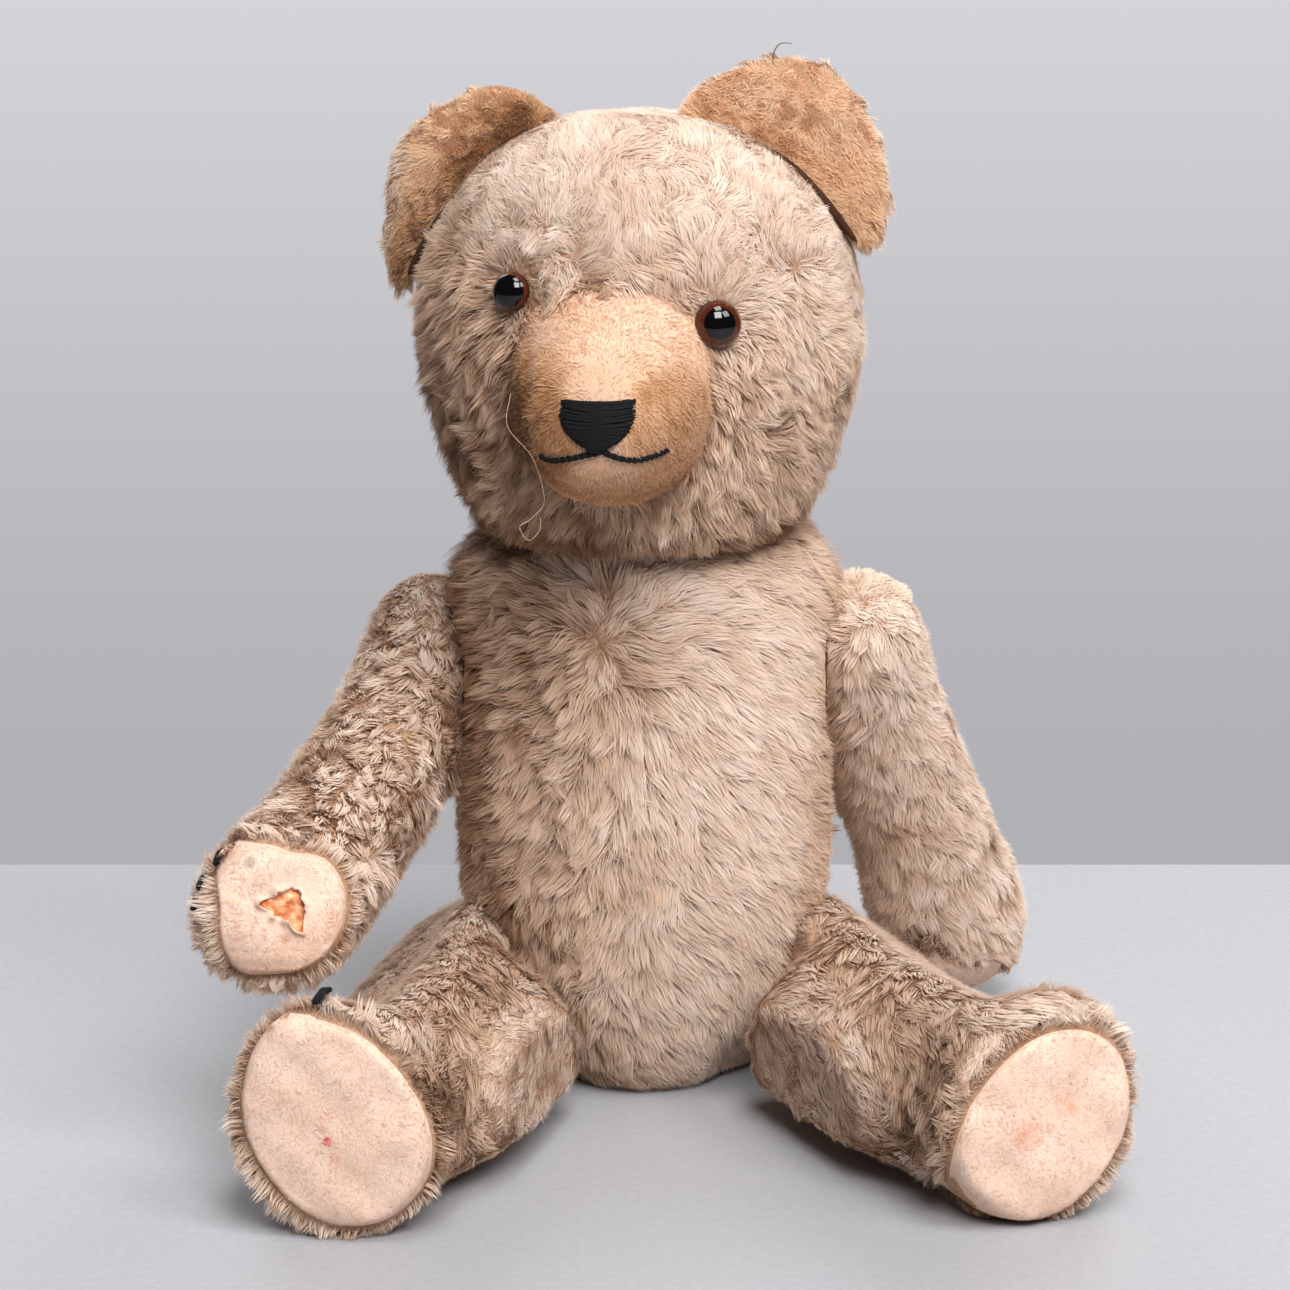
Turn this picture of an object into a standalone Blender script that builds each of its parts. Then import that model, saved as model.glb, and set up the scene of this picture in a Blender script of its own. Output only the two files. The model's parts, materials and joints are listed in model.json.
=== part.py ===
"""Seated, disc-jointed teddy bear: mohair skins, wood-wool stuffing, felt pads and cotter-pin joints.

Units are metres. +Z is up, the bear faces -Y and +X is the bear's own left.
The origin is the middle of the flat seat that the body sits on.

Every stuffed part comes from one cage of rings. The skin is that form with a wall, the stuffing is the
same form set in by the wall and a small gap, and the flat planes of the joints cut both.
"""

import math

import bmesh
import bpy
from mathutils import Matrix, Vector
from mathutils.bvhtree import BVHTree

MM = 0.001

# Cloth and clearances
WALL = 2.5 * MM  # woven backing with the foot of its pile
GAP = 0.3 * MM  # between pieces that rest on each other
FELT = 3.0 * MM  # pad cloth
EAR_BACK = 3.0 * MM
EAR_LINING = 2.2 * MM
THREAD_R = 0.8 * MM  # embroidery thread
SIDES = 8  # corners of one ring of a cage
BIG = 0.6  # side of a box that stands for a half space

# Joint hardware
DISC_THICK = 3.0 * MM
WASHER_THICK = 1.0 * MM
WASHER_R = 6.5 * MM
WIRE_R = 0.8 * MM  # wire of the cotter pins
LEG_OFF = 1.1 * MM  # from the pin's axis to the middle of each of its two wires
EYE_R = 2.6 * MM  # loop at the head of a cotter pin
CURL_R = 2.0 * MM  # curl of its two ends
PIN_HOLE_R = LEG_OFF + WIRE_R + GAP
NECK_DISC_R = 24 * MM
SHOULDER_DISC_R = 11.5 * MM
HIP_DISC_R = 15.5 * MM
THIGH_TOP = 33 * MM  # top of the hip's recess above its axis

# Places of the joints, for the bear's left. The right side is mirrored.
NECK_Z = 157 * MM
SHOULDER = Vector((50, 3, 113)) * MM
HIP = Vector((29, 4, 27)) * MM
HIP_DIP = math.radians(10)  # the disc faces down by this much

# Pose at rest
HEAD_YAW = math.radians(-8.5)
SPLAY = {"left": math.radians(16.5), "right": math.radians(7.5)}
ARM_SWING = {"left": math.radians(-26), "right": math.radians(57)}
PALM_IN = {"left": math.radians(40), "right": math.radians(4)}
ARM_BEND = {"left": 0.45, "right": 1.0}
ARM_FLARE = {"left": 0.21, "right": 0.27}  # bent outwards by this share of the length
FLARE_FROM = -10  # mm below the shoulder's axis

COLOURS = {
    "mohair": ((0.45, 0.33, 0.25, 1), 0.9, 0),
    "plush": ((0.62, 0.42, 0.26, 1), 0.9, 0),
    "felt": ((0.85, 0.62, 0.48, 1), 0.9, 0),
    "wood_wool": ((0.66, 0.50, 0.30, 1), 0.9, 0),
    "hardboard": ((0.30, 0.19, 0.11, 1), 0.8, 0),
    "steel": ((0.55, 0.54, 0.52, 1), 0.4, 1),
    "glass": ((0.10, 0.04, 0.02, 1), 0.05, 0),
    "thread": ((0.02, 0.02, 0.025, 1), 0.7, 0),
}


# ---- Scene, collections and materials


def clear_scene():
    for obj in list(bpy.data.objects):
        bpy.data.objects.remove(obj)


def new_collection(name):
    made = bpy.data.collections.new(name)
    bpy.context.scene.collection.children.link(made)
    return made


def material(name):
    found = bpy.data.materials.get(name)
    if found:
        return found
    colour, roughness, metallic = COLOURS[name]
    made = bpy.data.materials.new(name)
    made.use_nodes = True
    shader = made.node_tree.nodes["Principled BSDF"]
    shader.inputs["Base Color"].default_value = colour
    shader.inputs["Roughness"].default_value = roughness
    shader.inputs["Metallic"].default_value = metallic
    made.diffuse_color = colour
    return made


clear_scene()
BEAR = new_collection("teddy_bear")
CUTTERS = new_collection("cutters")


def part(obj, name, finish):
    """Names obj, gives it its material and puts it with the bear's parts."""
    obj.name = name
    obj.data.name = name
    obj.data.materials.clear()
    obj.data.materials.append(material(finish))
    move_to(obj, BEAR)
    return obj


def cutter(obj, name):
    """Puts obj with the helpers, which the render and the build leave out."""
    obj.name = name
    obj.hide_render = True
    obj.display_type = "WIRE"
    move_to(obj, CUTTERS)
    return obj


def move_to(obj, collection):
    for old in list(obj.users_collection):
        old.objects.unlink(obj)
    collection.objects.link(obj)


def object_from(name, bm):
    mesh = bpy.data.meshes.new(name)
    bm.to_mesh(mesh)
    bm.free()
    obj = bpy.data.objects.new(name, mesh)
    bpy.context.scene.collection.objects.link(obj)
    return obj


def boolean(obj, other, operation="DIFFERENCE"):
    modifier = obj.modifiers.new(f"{operation.lower()} {other.name}", "BOOLEAN")
    modifier.operation = operation
    modifier.object = other
    modifier.solver = "EXACT"


# ---- Cutters with a simple shape


def half_space(name, point, normal):
    """A box that fills everything beyond the plane through point, on the side that normal points to."""
    bpy.ops.mesh.primitive_cube_add(size=BIG, location=point + normal * BIG / 2)
    box = bpy.context.object
    box.rotation_euler = normal.to_track_quat("Z", "Y").to_euler()
    return cutter(box, name)


def thigh_space(name, frame, inset):
    """The box that a thigh needs beside the body: local x above 0 and local z below THIGH_TOP."""
    centre = frame @ Vector((BIG / 2 - GAP - inset, 0, THIGH_TOP + inset - BIG / 2))
    bpy.ops.mesh.primitive_cube_add(size=BIG, location=centre)
    box = bpy.context.object
    box.rotation_euler = frame.to_euler()
    return cutter(box, name)


def rod_cutter(name, start, end, radius, sides=16):
    axis = end - start
    bpy.ops.mesh.primitive_cylinder_add(
        vertices=sides, radius=radius, depth=axis.length, location=(start + end) / 2
    )
    rod = bpy.context.object
    rod.rotation_euler = axis.to_track_quat("Z", "Y").to_euler()
    return cutter(rod, name)


# ---- Stuffed forms


def cage(name, rings, frame):
    """A closed cage of rings along a spine: x, y, z, half width across X, half width the other way.

    Rings stand square to the spine. A ring of SIDES corners is wider than the smooth form it makes.
    """
    widen = 6 / (4 + 2 * math.cos(2 * math.pi / SIDES))
    spine = [Vector(ring[:3]) * MM for ring in rings]
    bm = bmesh.new()
    loops = []
    for i, (centre, ring) in enumerate(zip(spine, rings)):
        along = (spine[min(i + 1, len(spine) - 1)] - spine[max(i - 1, 0)]).normalized()
        across = (Vector((1, 0, 0)) - along * along.x).normalized()
        other = along.cross(across)
        loop = []
        for k in range(SIDES):
            angle = 2 * math.pi * (k + 0.5) / SIDES
            out = across * math.cos(angle) * ring[3] + other * math.sin(angle) * ring[4]
            loop.append(bm.verts.new(frame @ (centre + out * widen * MM)))
        loops.append(loop)
    for near, far in zip(loops, loops[1:]):
        for k in range(SIDES):
            bm.faces.new((near[k - 1], near[k], far[k], far[k - 1]))
    bm.faces.new(loops[0])
    bm.faces.new(loops[-1])
    bmesh.ops.recalc_face_normals(bm, faces=bm.faces)
    return object_from(name, bm)


def soft_form(name, rings, frame, cuts=(), inset=0.0):
    """The smooth form of a cage, set in by inset, with each cut taken off.

    A cut is a half space (point, normal), or the frame of a leg whose thigh needs room.
    """
    form = cage(name, rings, frame)
    smooth = form.modifiers.new("smooth", "SUBSURF")
    smooth.levels = smooth.render_levels = 1
    split = form.modifiers.new("split", "TRIANGULATE")
    split.quad_method = "FIXED"  # skin and stuffing fold along the same lines
    if inset:
        shift = form.modifiers.new("inset", "DISPLACE")
        shift.strength = -inset
        shift.mid_level = 0
    for i, cut in enumerate(cuts):
        if isinstance(cut, Matrix):
            boolean(form, thigh_space(f"{name}_cut_{i}", cut, inset))
        else:
            point, normal = cut
            boolean(form, half_space(f"{name}_cut_{i}", point - normal * inset, normal))
    return form


def stuffed(name, rings, frame, cuts, end=None):
    """(skin, stuffing) of one stuffed part. A pad closes its open end, the plane (point, normal)."""
    ends = [end] if end else []
    skin = part(
        soft_form(f"{name}_skin", rings, frame, [*cuts, *ends]), f"{name}_skin", "mohair"
    )
    cavity = cutter(soft_form(f"{name}_cavity", rings, frame, cuts, WALL), f"{name}_cavity")
    boolean(skin, cavity)
    stuffing = soft_form(f"{name}_stuffing", rings, frame, cuts, WALL + GAP)
    if end:
        point, normal = end
        boolean(stuffing, half_space(f"{name}_end", point, normal))
    return skin, part(stuffing, f"{name}_stuffing", "wood_wool")


def pad(name, rings, frame, cuts, end):
    """The felt that closes an open end: the slice of the form just beyond the end plane."""
    point, normal = end
    face = [(point + normal * (GAP + FELT), normal), (point + normal * GAP, -normal)]
    return part(soft_form(name, rings, frame, [*cuts, *face]), name, "felt")


def side_frame(side, pivot, normal, swing=0.0):
    """A limb's frame: X is out along the joint's axis, -Y forward and Z up, turned forward by swing."""
    up = (Vector((0, 0, 1)) - normal * normal.z).normalized()
    back = up.cross(normal)
    turn = Matrix((normal, back, up)).transposed().to_4x4()
    frame = Matrix.Translation(pivot) @ turn @ Matrix.Rotation(-swing, 4, "X")
    return Matrix.Scale(-1 if side == "right" else 1, 4, (1, 0, 0)) @ frame


def plane_in(frame, point, direction):
    """A local point and direction as a plane in the bear's frame."""
    return frame @ Vector(point), (frame.to_3x3() @ Vector(direction)).normalized()


def joint_cut(pivot, normal):
    """The half space that a joint's plane takes off the piece on the near side of normal."""
    return pivot - normal * GAP, normal


FLOOR = (Vector((0, 0, 0)), Vector((0, 0, -1)))
STAYS = ("_inner", "_cotter_pin", "_axis")  # pieces of a joint that stay with the body


# ---- Disc joints


def ring_part(name, radius, hole_r, thickness, centre, axis, finish, steps=18):
    """A flat ring, turned: a rectangle swept round the axis."""
    half = thickness / 2
    mesh = bpy.data.meshes.new(name)
    outline = [(radius, 0, half), (radius, 0, -half), (hole_r, 0, -half), (hole_r, 0, half)]
    mesh.from_pydata(outline, [(0, 1), (1, 2), (2, 3), (3, 0)], [])
    ring = bpy.data.objects.new(name, mesh)
    turned = ring.modifiers.new("turned", "SCREW")
    turned.steps = turned.render_steps = steps
    turned.use_merge_vertices = True
    turned.merge_threshold = 0.00001
    ring.location = centre
    ring.rotation_euler = axis.to_track_quat("Z", "Y").to_euler()
    return part(ring, name, finish)


def arc(centre, radius, start, end, count):
    """Points (x, z) along an arc, with angles in degrees from +X towards +Z."""
    for i in range(count):
        angle = math.radians(start + (end - start) * i / (count - 1))
        yield (
            centre[0] + radius * math.cos(angle),
            centre[1] + radius * math.sin(angle),
        )


def wire(name, path, radius):
    """A closed wire along a path of points."""
    data = bpy.data.curves.new(name, "CURVE")
    data.dimensions = "3D"
    data.bevel_depth = radius
    data.bevel_resolution = 1
    data.use_fill_caps = True
    spline = data.splines.new("POLY")
    spline.points.add(len(path) - 1)
    for point, place in zip(spline.points, path):
        point.co = (*place, 1)
    return bpy.data.objects.new(name, data)


def cotter_pin(name, centre, axis, reach):
    """A wire bent double: a loop at the limb's end, and two ends curled back onto the body's washer."""
    seat = reach + GAP + WIRE_R
    half_angle = math.degrees(math.asin(LEG_OFF / EYE_R))
    loop_z = seat + EYE_R
    loop = list(arc((0, loop_z), EYE_R, 270 + half_angle, 630 - half_angle, 8))
    # the curl ends where it meets the washer
    curl = list(arc((LEG_OFF + CURL_R, -seat - CURL_R * 0.4), CURL_R, 0, -180, 6))
    path = curl + loop + [(-x, z) for x, z in reversed(curl)]
    pin = wire(name, [(x, 0, z) for x, z in path], WIRE_R)
    pin.location = centre
    pin.rotation_euler = axis.to_track_quat("Z", "Y").to_euler()
    return part(pin, name, "steel")


def disc_joint(name, pivot, axis, radius, near, far):
    """Two discs, two washers and a cotter pin through two skins that meet at pivot.

    axis points from the body into the limb. near and far are (skin, stuffing) of the body and the limb.
    """
    first = GAP + WALL + GAP
    reach = first + DISC_THICK + GAP + WASHER_THICK
    room = reach + 9 * MM  # the pin's ends need a hollow in the stuffing
    for side, where, (skin, stuffing) in ((-1, "inner", near), (1, "outer", far)):
        disc_at = pivot + axis * side * (first + DISC_THICK / 2)
        washer_at = pivot + axis * side * (reach - WASHER_THICK / 2)
        ring_part(
            f"{name}_disc_{where}", radius, PIN_HOLE_R, DISC_THICK, disc_at, axis, "hardboard"
        )
        ring_part(
            f"{name}_washer_{where}", WASHER_R, PIN_HOLE_R, WASHER_THICK, washer_at, axis, "steel", 12
        )
        hole = rod_cutter(
            f"{name}_hole_{where}", pivot, pivot + axis * side * (WALL + 3 * GAP), PIN_HOLE_R
        )
        boolean(skin, hole)
        seat = rod_cutter(
            f"{name}_seat_{where}",
            pivot,
            pivot + axis * side * (first + DISC_THICK + GAP),
            radius + GAP,
            20,
        )
        boolean(stuffing, seat)
        hollow = rod_cutter(
            f"{name}_hollow_{where}", pivot, pivot + axis * side * room, WASHER_R + 0.5 * MM
        )
        boolean(stuffing, hollow)
    cotter_pin(f"{name}_cotter_pin", pivot, axis, reach)


# Claw stitches that are left, as angles round the pads
PAW_CLAWS = {"left": (), "right": (147, 168, 184)}
FOOT_CLAWS = {"left": (94,), "right": (101,)}


def carry(joint, pivot, axis, prefixes):
    """Parents the pieces that turn on a joint to an empty on its axis."""
    empty = bpy.data.objects.new(f"{joint}_axis", None)
    place = Matrix.Translation(pivot) @ axis.to_track_quat("Z", "Y").to_matrix().to_4x4()
    empty.matrix_world = place
    BEAR.objects.link(empty)
    for piece in BEAR.objects:
        if piece.name.startswith(prefixes) and not piece.name.endswith(STAYS):
            piece.parent = empty
            piece.matrix_parent_inverse = place.inverted()


# ---- Ring tables: x, y, z of the middle, then the two half widths, all in mm

TORSO_RINGS = [
    (0, 0, -6, 24, 28),
    (0, 0, 6, 40, 42),
    (0, -1, 30, 49, 48),
    (0, -3, 64, 51.5, 50),
    (0, -2, 96, 54, 49),
    (0, 0, 124, 55, 46),
    (0, 0, 147, 49, 43),
    (0, 0, 166, 36, 34),
]

HEAD_RINGS = [
    (0, -4, -16, 30, 32),
    (0, -5, 5, 45, 47),
    (0, -7, 27, 54, 55),
    (0, -6, 53, 60, 58),
    (0, -3, 77, 58.5, 57),
    (0, 2, 96, 46.5, 48),
    (0, 4, 111, 24, 26),
]

MUZZLE_RINGS = [
    (0, -26, 45, 30, 33),
    (0, -54, 44, 28.5, 31),
    (0, -74, 41, 25, 25),
    (0, -88, 39, 18.5, 17.5),
    (0, -97, 38.5, 9, 8.5),
]

LEG_RINGS = [
    (17, 29, 1, 14, 15),
    (17, 21, 1, 23, 23.5),
    (18, 0, 1, 26.5, 26),
    (21, -38, 1.5, 26, 25),
    (25, -76, 2.5, 25, 24),
    (28, -110, 5, 26, 28),
    (29, -136, 7, 27, 31),
    (29, -152, 7, 26.5, 30.5),
    (29, -160, 7, 20, 24),
]

# An arm hangs along -Z. The last number of a row is how far the ring is moved towards the palm.
ARM_RINGS = [
    (9, 0, 26, 10, 11, 0),
    (9.5, 0, 18, 16, 17.5, 0),
    (10.5, 1, -5, 17, 19, 0),
    (14, 2, -29, 17, 19.5, -1),
    (17.5, 2, -52, 17, 19, 0),
    (21, 1, -74, 18.5, 18.5, 3),
    (24, 0, -93, 21.5, 19, 8),
    (25, 0, -107, 19, 17.5, 12),
    (25.5, 0, -115, 11, 10, 14),
]


def arm_rings(side):
    """The arm's rings, bent towards the palm."""
    turn = PALM_IN[side]
    rings = []
    for x, y, z, wide, deep, bend in ARM_RINGS:
        moved = bend * ARM_BEND[side]
        out = x - moved * math.sin(turn) - min(z - FLARE_FROM, 0) * ARM_FLARE[side]
        rings.append((out, y - moved * math.cos(turn), z, wide, deep))
    return rings


# ---- Body


def make_torso(joint_planes, hips):
    """The torso. Each hip is a flat-sided recess no higher than the top of the thigh."""
    cuts = [FLOOR, *(joint_cut(pivot, axis) for pivot, axis in joint_planes)]
    cuts += hips
    return stuffed("torso", TORSO_RINGS, Matrix.Identity(4), cuts)


def make_leg(side, frame, pivot, axis):
    cuts = [FLOOR, joint_cut(pivot, -axis)]
    sole = plane_in(frame, Vector((29, -150, 7)) * MM, (0, -1, 0.1))
    leg = stuffed(f"leg_{side}", LEG_RINGS, frame, cuts, sole)
    pad(f"foot_pad_{side}", LEG_RINGS, frame, cuts, sole)
    for i, angle in enumerate(FOOT_CLAWS[side], 1):
        claw(f"foot_claw_{side}_{i}", leg[0], *sole, angle, 7 * MM)
    return leg


def make_arm(side, frame, pivot, axis):
    cuts = [joint_cut(pivot, -axis)]
    rings = arm_rings(side)
    turn = PALM_IN[side]
    wrist = Vector(rings[-3][:3]) * MM
    palm = Vector((-math.sin(turn), -math.cos(turn), -0.9)).normalized()
    end = plane_in(frame, wrist + palm * 12 * MM, palm)
    arm = stuffed(f"arm_{side}", rings, frame, cuts, end)
    pad(f"paw_pad_{side}", rings, frame, cuts, end)
    for i, angle in enumerate(PAW_CLAWS[side], 1):
        claw(f"paw_claw_{side}_{i}", arm[0], *end, angle, 6 * MM)
    return arm


# ---- Head

MUZZLE_TIP = 97  # mm in front of the neck's axis
NOSE = [(-9, 49), (-4, 50), (4, 50), (9, 49), (9, 44), (6, 40), (0.5, 37.2), (-5, 40), (-8.5, 44)]
MOUTH = [(-14, 35), (-11, 33.7), (-6, 34.5), (-2, 35.2), (1, 35.5)]
MOUTH += [(4, 35.2), (8, 34.3), (12.5, 34), (17, 36)]
EAR_FROM = math.radians(-24)  # an ear is a little over half a disc
EAR_SWEEP = math.radians(228)
EAR_CUP = 7 * MM
GLASS_EYE_R = 6.3 * MM
EYE_FLAT = 0.78  # depth of an eye over its width


def ear_sheet(name, frame, size, out, thickness, finish, head_shape):
    """One cupped layer of an ear: a little over half a disc in the frame's XZ plane, facing -Y."""
    half_chord, height = (length * MM for length in size)
    bm = bmesh.new()
    rows = []
    for ring in range(5):
        share = (ring + 0.6) / 4.6
        row = []
        for step in range(11):
            angle = EAR_FROM + EAR_SWEEP * step / 10
            x = half_chord * share * math.cos(angle)
            z = height * share * math.sin(angle)
            forward = EAR_CUP * (share**2 + (x / half_chord) ** 2) - out
            row.append(bm.verts.new(frame @ Vector((x, -forward, z))))
        rows.append(row)
    for near, far in zip(rows, rows[1:]):
        for a, b, c, d in zip(near, near[1:], far[1:], far):
            bm.faces.new((a, b, c, d))
    bm.faces.new(rows[0])
    bmesh.ops.recalc_face_normals(bm, faces=bm.faces)
    facing = frame.to_3x3() @ Vector((0, -1, 0))
    if sum((face.normal.dot(facing) for face in bm.faces)) < 0:
        bmesh.ops.reverse_faces(bm, faces=bm.faces)
    sheet = object_from(name, bm)
    layer = sheet.modifiers.new("layer", "SOLIDIFY")
    layer.thickness = thickness
    layer.offset = 1 if out < 0 else -1
    boolean(sheet, head_shape)
    return part(sheet, name, finish)


def ear(side, inner, outer, size, head_frame, head_shape):
    """Back and lining of an ear whose base runs from inner to outer. size: half chord and height."""
    start, end = Vector(inner) * MM, Vector(outer) * MM
    chord = (end - start).normalized()
    facing = Vector((0.18 if side == "left" else -0.42, -1, 0)).normalized()
    facing = (facing - chord * facing.dot(chord)).normalized()
    up = facing.cross(chord)
    if up.z < 0:
        up = -up
    turn = Matrix((chord, -facing, up)).transposed().to_4x4()
    frame = head_frame @ Matrix.Translation((start + end) / 2) @ turn
    ear_sheet(f"ear_{side}_back", frame, size, GAP / 2, EAR_BACK, "mohair", head_shape)
    ear_sheet(f"ear_{side}_lining", frame, size, -GAP / 2, EAR_LINING, "plush", head_shape)


def surface_of(form):
    return BVHTree.FromObject(form, bpy.context.evaluated_depsgraph_get())


def on_surface(tree, origin, direction, lift):
    """Where a line from origin meets the surface, lifted off along the surface's normal."""
    place, normal, _, _ = tree.ray_cast(origin, direction)
    if normal.dot(direction) > 0:
        normal = -normal
    return place + normal * lift, normal


def eye(side, x, z, head_frame, tree, head_shape, skin, stuffing):
    """A glass eye that lies on the skin, with its wire shank through skin and stuffing."""
    aim = head_frame.to_3x3() @ Vector((math.copysign(0.34, x), -1, 0.08)).normalized()
    target = head_frame @ (Vector((x, -54, z)) * MM)
    seat, _ = on_surface(tree, target + aim * 0.1, -aim, 0)
    middle = seat + aim * 1.6 * MM
    bpy.ops.mesh.primitive_uv_sphere_add(
        segments=16, ring_count=8, radius=GLASS_EYE_R, location=middle
    )
    glass = bpy.context.object
    glass.scale = (1, 1, EYE_FLAT)
    glass.rotation_euler = aim.to_track_quat("Z", "Y").to_euler()
    boolean(glass, head_shape)
    part(glass, f"eye_{side}", "glass")
    wire_r = 0.6 * MM
    front, back = middle + aim * 1.2 * MM, seat - aim * 11 * MM
    bore = rod_cutter(f"eye_{side}_bore", front, back, wire_r + GAP, 8)
    for piece in (glass, skin, stuffing):
        boolean(piece, bore)
    loop_hollow = rod_cutter(
        f"eye_{side}_hollow", seat - aim * 5 * MM, seat - aim * 13 * MM, 4 * MM, 12
    )
    boolean(stuffing, loop_hollow)
    loop = arc((0, -9.2 * MM), 2.2 * MM, 90, -210, 9)
    path = [(0, 2.4 * MM), (0, -4 * MM), *loop]
    shank = wire(f"eye_{side}_shank", [(x, 0, z) for x, z in path], wire_r)
    shank.location = seat
    shank.rotation_euler = aim.to_track_quat("Z", "Y").to_euler()
    part(shank, shank.name, "steel")


def thread_on(name, tree, points, direction, radius):
    """A run of thread that lies on a surface: points are thrown at it along direction."""
    path = [
        on_surface(tree, point - direction * 60 * MM, direction, radius + GAP)[0]
        for point in points
    ]
    return part(wire(name, path, radius), name, "thread")


def nose(frame, shape_in, shape_out):
    """Satin-stitched nose: a shield-shaped slice of a shell that lies on the muzzle."""
    bm = bmesh.new()
    bm.faces.new([bm.verts.new(frame @ (Vector((x, -MUZZLE_TIP, z)) * MM)) for x, z in NOSE])
    bmesh.ops.recalc_face_normals(bm, faces=bm.faces)
    prism = object_from("nose", bm)
    thick = prism.modifiers.new("thick", "SOLIDIFY")
    thick.thickness = 60 * MM
    thick.offset = 0
    boolean(prism, shape_out, "INTERSECT")
    boolean(prism, shape_in)
    return part(prism, "nose_embroidery", "thread")


def make_head(neck, up):
    frame = Matrix.Translation(neck) @ Matrix.Rotation(HEAD_YAW, 4, "Z")
    cuts = [joint_cut(neck, -up)]
    skin, stuffing = stuffed("head", HEAD_RINGS, frame, cuts)
    around_head = cutter(soft_form("around_head", HEAD_RINGS, frame, (), -GAP), "around_head")

    muzzle = soft_form("muzzle", MUZZLE_RINGS, frame)
    muzzle_room = cutter(soft_form("muzzle_room", MUZZLE_RINGS, frame, (), WALL), "muzzle_room")
    boolean(muzzle, around_head)
    boolean(muzzle, muzzle_room)
    part(muzzle, "muzzle", "plush")
    boolean(skin, muzzle_room)
    filling = cutter(soft_form("muzzle_filling", MUZZLE_RINGS, frame, (), WALL + GAP), "muzzle_filling")
    boolean(stuffing, filling, "UNION")

    near = cutter(soft_form("near_muzzle", MUZZLE_RINGS, frame, (), -GAP), "near_muzzle")
    far = cutter(soft_form("off_muzzle", MUZZLE_RINGS, frame, (), -GAP - 1.4 * MM), "off_muzzle")
    nose(frame, near, far)
    forward = frame.to_3x3() @ Vector((0, -1, 0))
    points = [frame @ (Vector((x, -MUZZLE_TIP, z)) * MM) for x, z in MOUTH]
    thread_on("mouth_embroidery", surface_of(near), points, -forward, THREAD_R)

    tree = surface_of(around_head)
    eye("left", 26.5, 63, frame, tree, around_head, skin, stuffing)
    eye("right", -27.5, 70, frame, tree, around_head, skin, stuffing)
    ear("left", (10, 8, 107), (62, 8, 70), (33, 37), frame, around_head)
    ear("right", (-23, 8, 105), (-63, 4, 63), (31, 35), frame, around_head)
    return skin, stuffing


# ---- Claws: single straight stitches from the seam of a pad back over the mohair


def claw(name, skin, pad_middle, pad_normal, angle, length):
    """angle goes round the pad from the bear's left towards the top, as seen from in front."""
    across = (Vector((1, 0, 0)) - pad_normal * pad_normal.x).normalized()
    rise = across.cross(-pad_normal)
    turn = math.radians(angle)
    radial = across * math.cos(turn) + rise * math.sin(turn)
    start = pad_middle - pad_normal * 0.5 * MM
    points = [start - pad_normal * length * share for share in (0, 0.5, 1)]
    thread_on(name, surface_of(skin), points, -radial, THREAD_R)


# ---- The whole bear

UP = Vector((0, 0, 1))
NECK = Vector((0, 0, NECK_Z))
hip_joints = {}
shoulder_joints = {}
for side, sign in (("left", 1), ("right", -1)):
    splay = SPLAY[side]
    out = Vector(
        (
            math.cos(splay) * math.cos(HIP_DIP),
            math.sin(splay) * math.cos(HIP_DIP),
            -math.sin(HIP_DIP),
        )
    )
    frame = side_frame(side, HIP, out)
    mirror = Vector((sign, 1, 1))
    hip_joints[side] = (frame, HIP * mirror, out * mirror)
    out = Vector((1, 0, 0))
    frame = side_frame(side, SHOULDER, out, ARM_SWING[side])
    shoulder_joints[side] = (frame, SHOULDER * mirror, out * mirror)

planes = [(NECK, UP)]
planes += [joint[1:] for joint in shoulder_joints.values()]
torso = make_torso(planes, [joint[0] for joint in hip_joints.values()])
head = make_head(NECK, UP)
disc_joint("neck", NECK, UP, NECK_DISC_R, torso, head)
for side in ("left", "right"):
    frame, pivot, axis = hip_joints[side]
    leg = make_leg(side, frame, pivot, axis)
    disc_joint(f"hip_{side}", pivot, axis, HIP_DISC_R, torso, leg)
    frame, pivot, axis = shoulder_joints[side]
    arm = make_arm(side, frame, pivot, axis)
    disc_joint(f"shoulder_{side}", pivot, axis, SHOULDER_DISC_R, torso, arm)
    for joint, limb, end, place in (
        ("hip", "leg", "foot", hip_joints[side][1:]),
        ("shoulder", "arm", "paw", (pivot, axis)),
    ):
        pieces = (f"{joint}_{side}", f"{limb}_{side}", f"{end}_pad_{side}", f"{end}_claw_{side}")
        carry(f"{joint}_{side}", *place, pieces)
carry("neck", NECK, UP, ("neck", "head", "muzzle", "ear", "eye", "nose", "mouth"))
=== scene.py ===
import json
import math

import bmesh
import bpy
import numpy as np
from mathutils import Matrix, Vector
from mathutils.bvhtree import BVHTree
from mathutils.kdtree import KDTree


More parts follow.
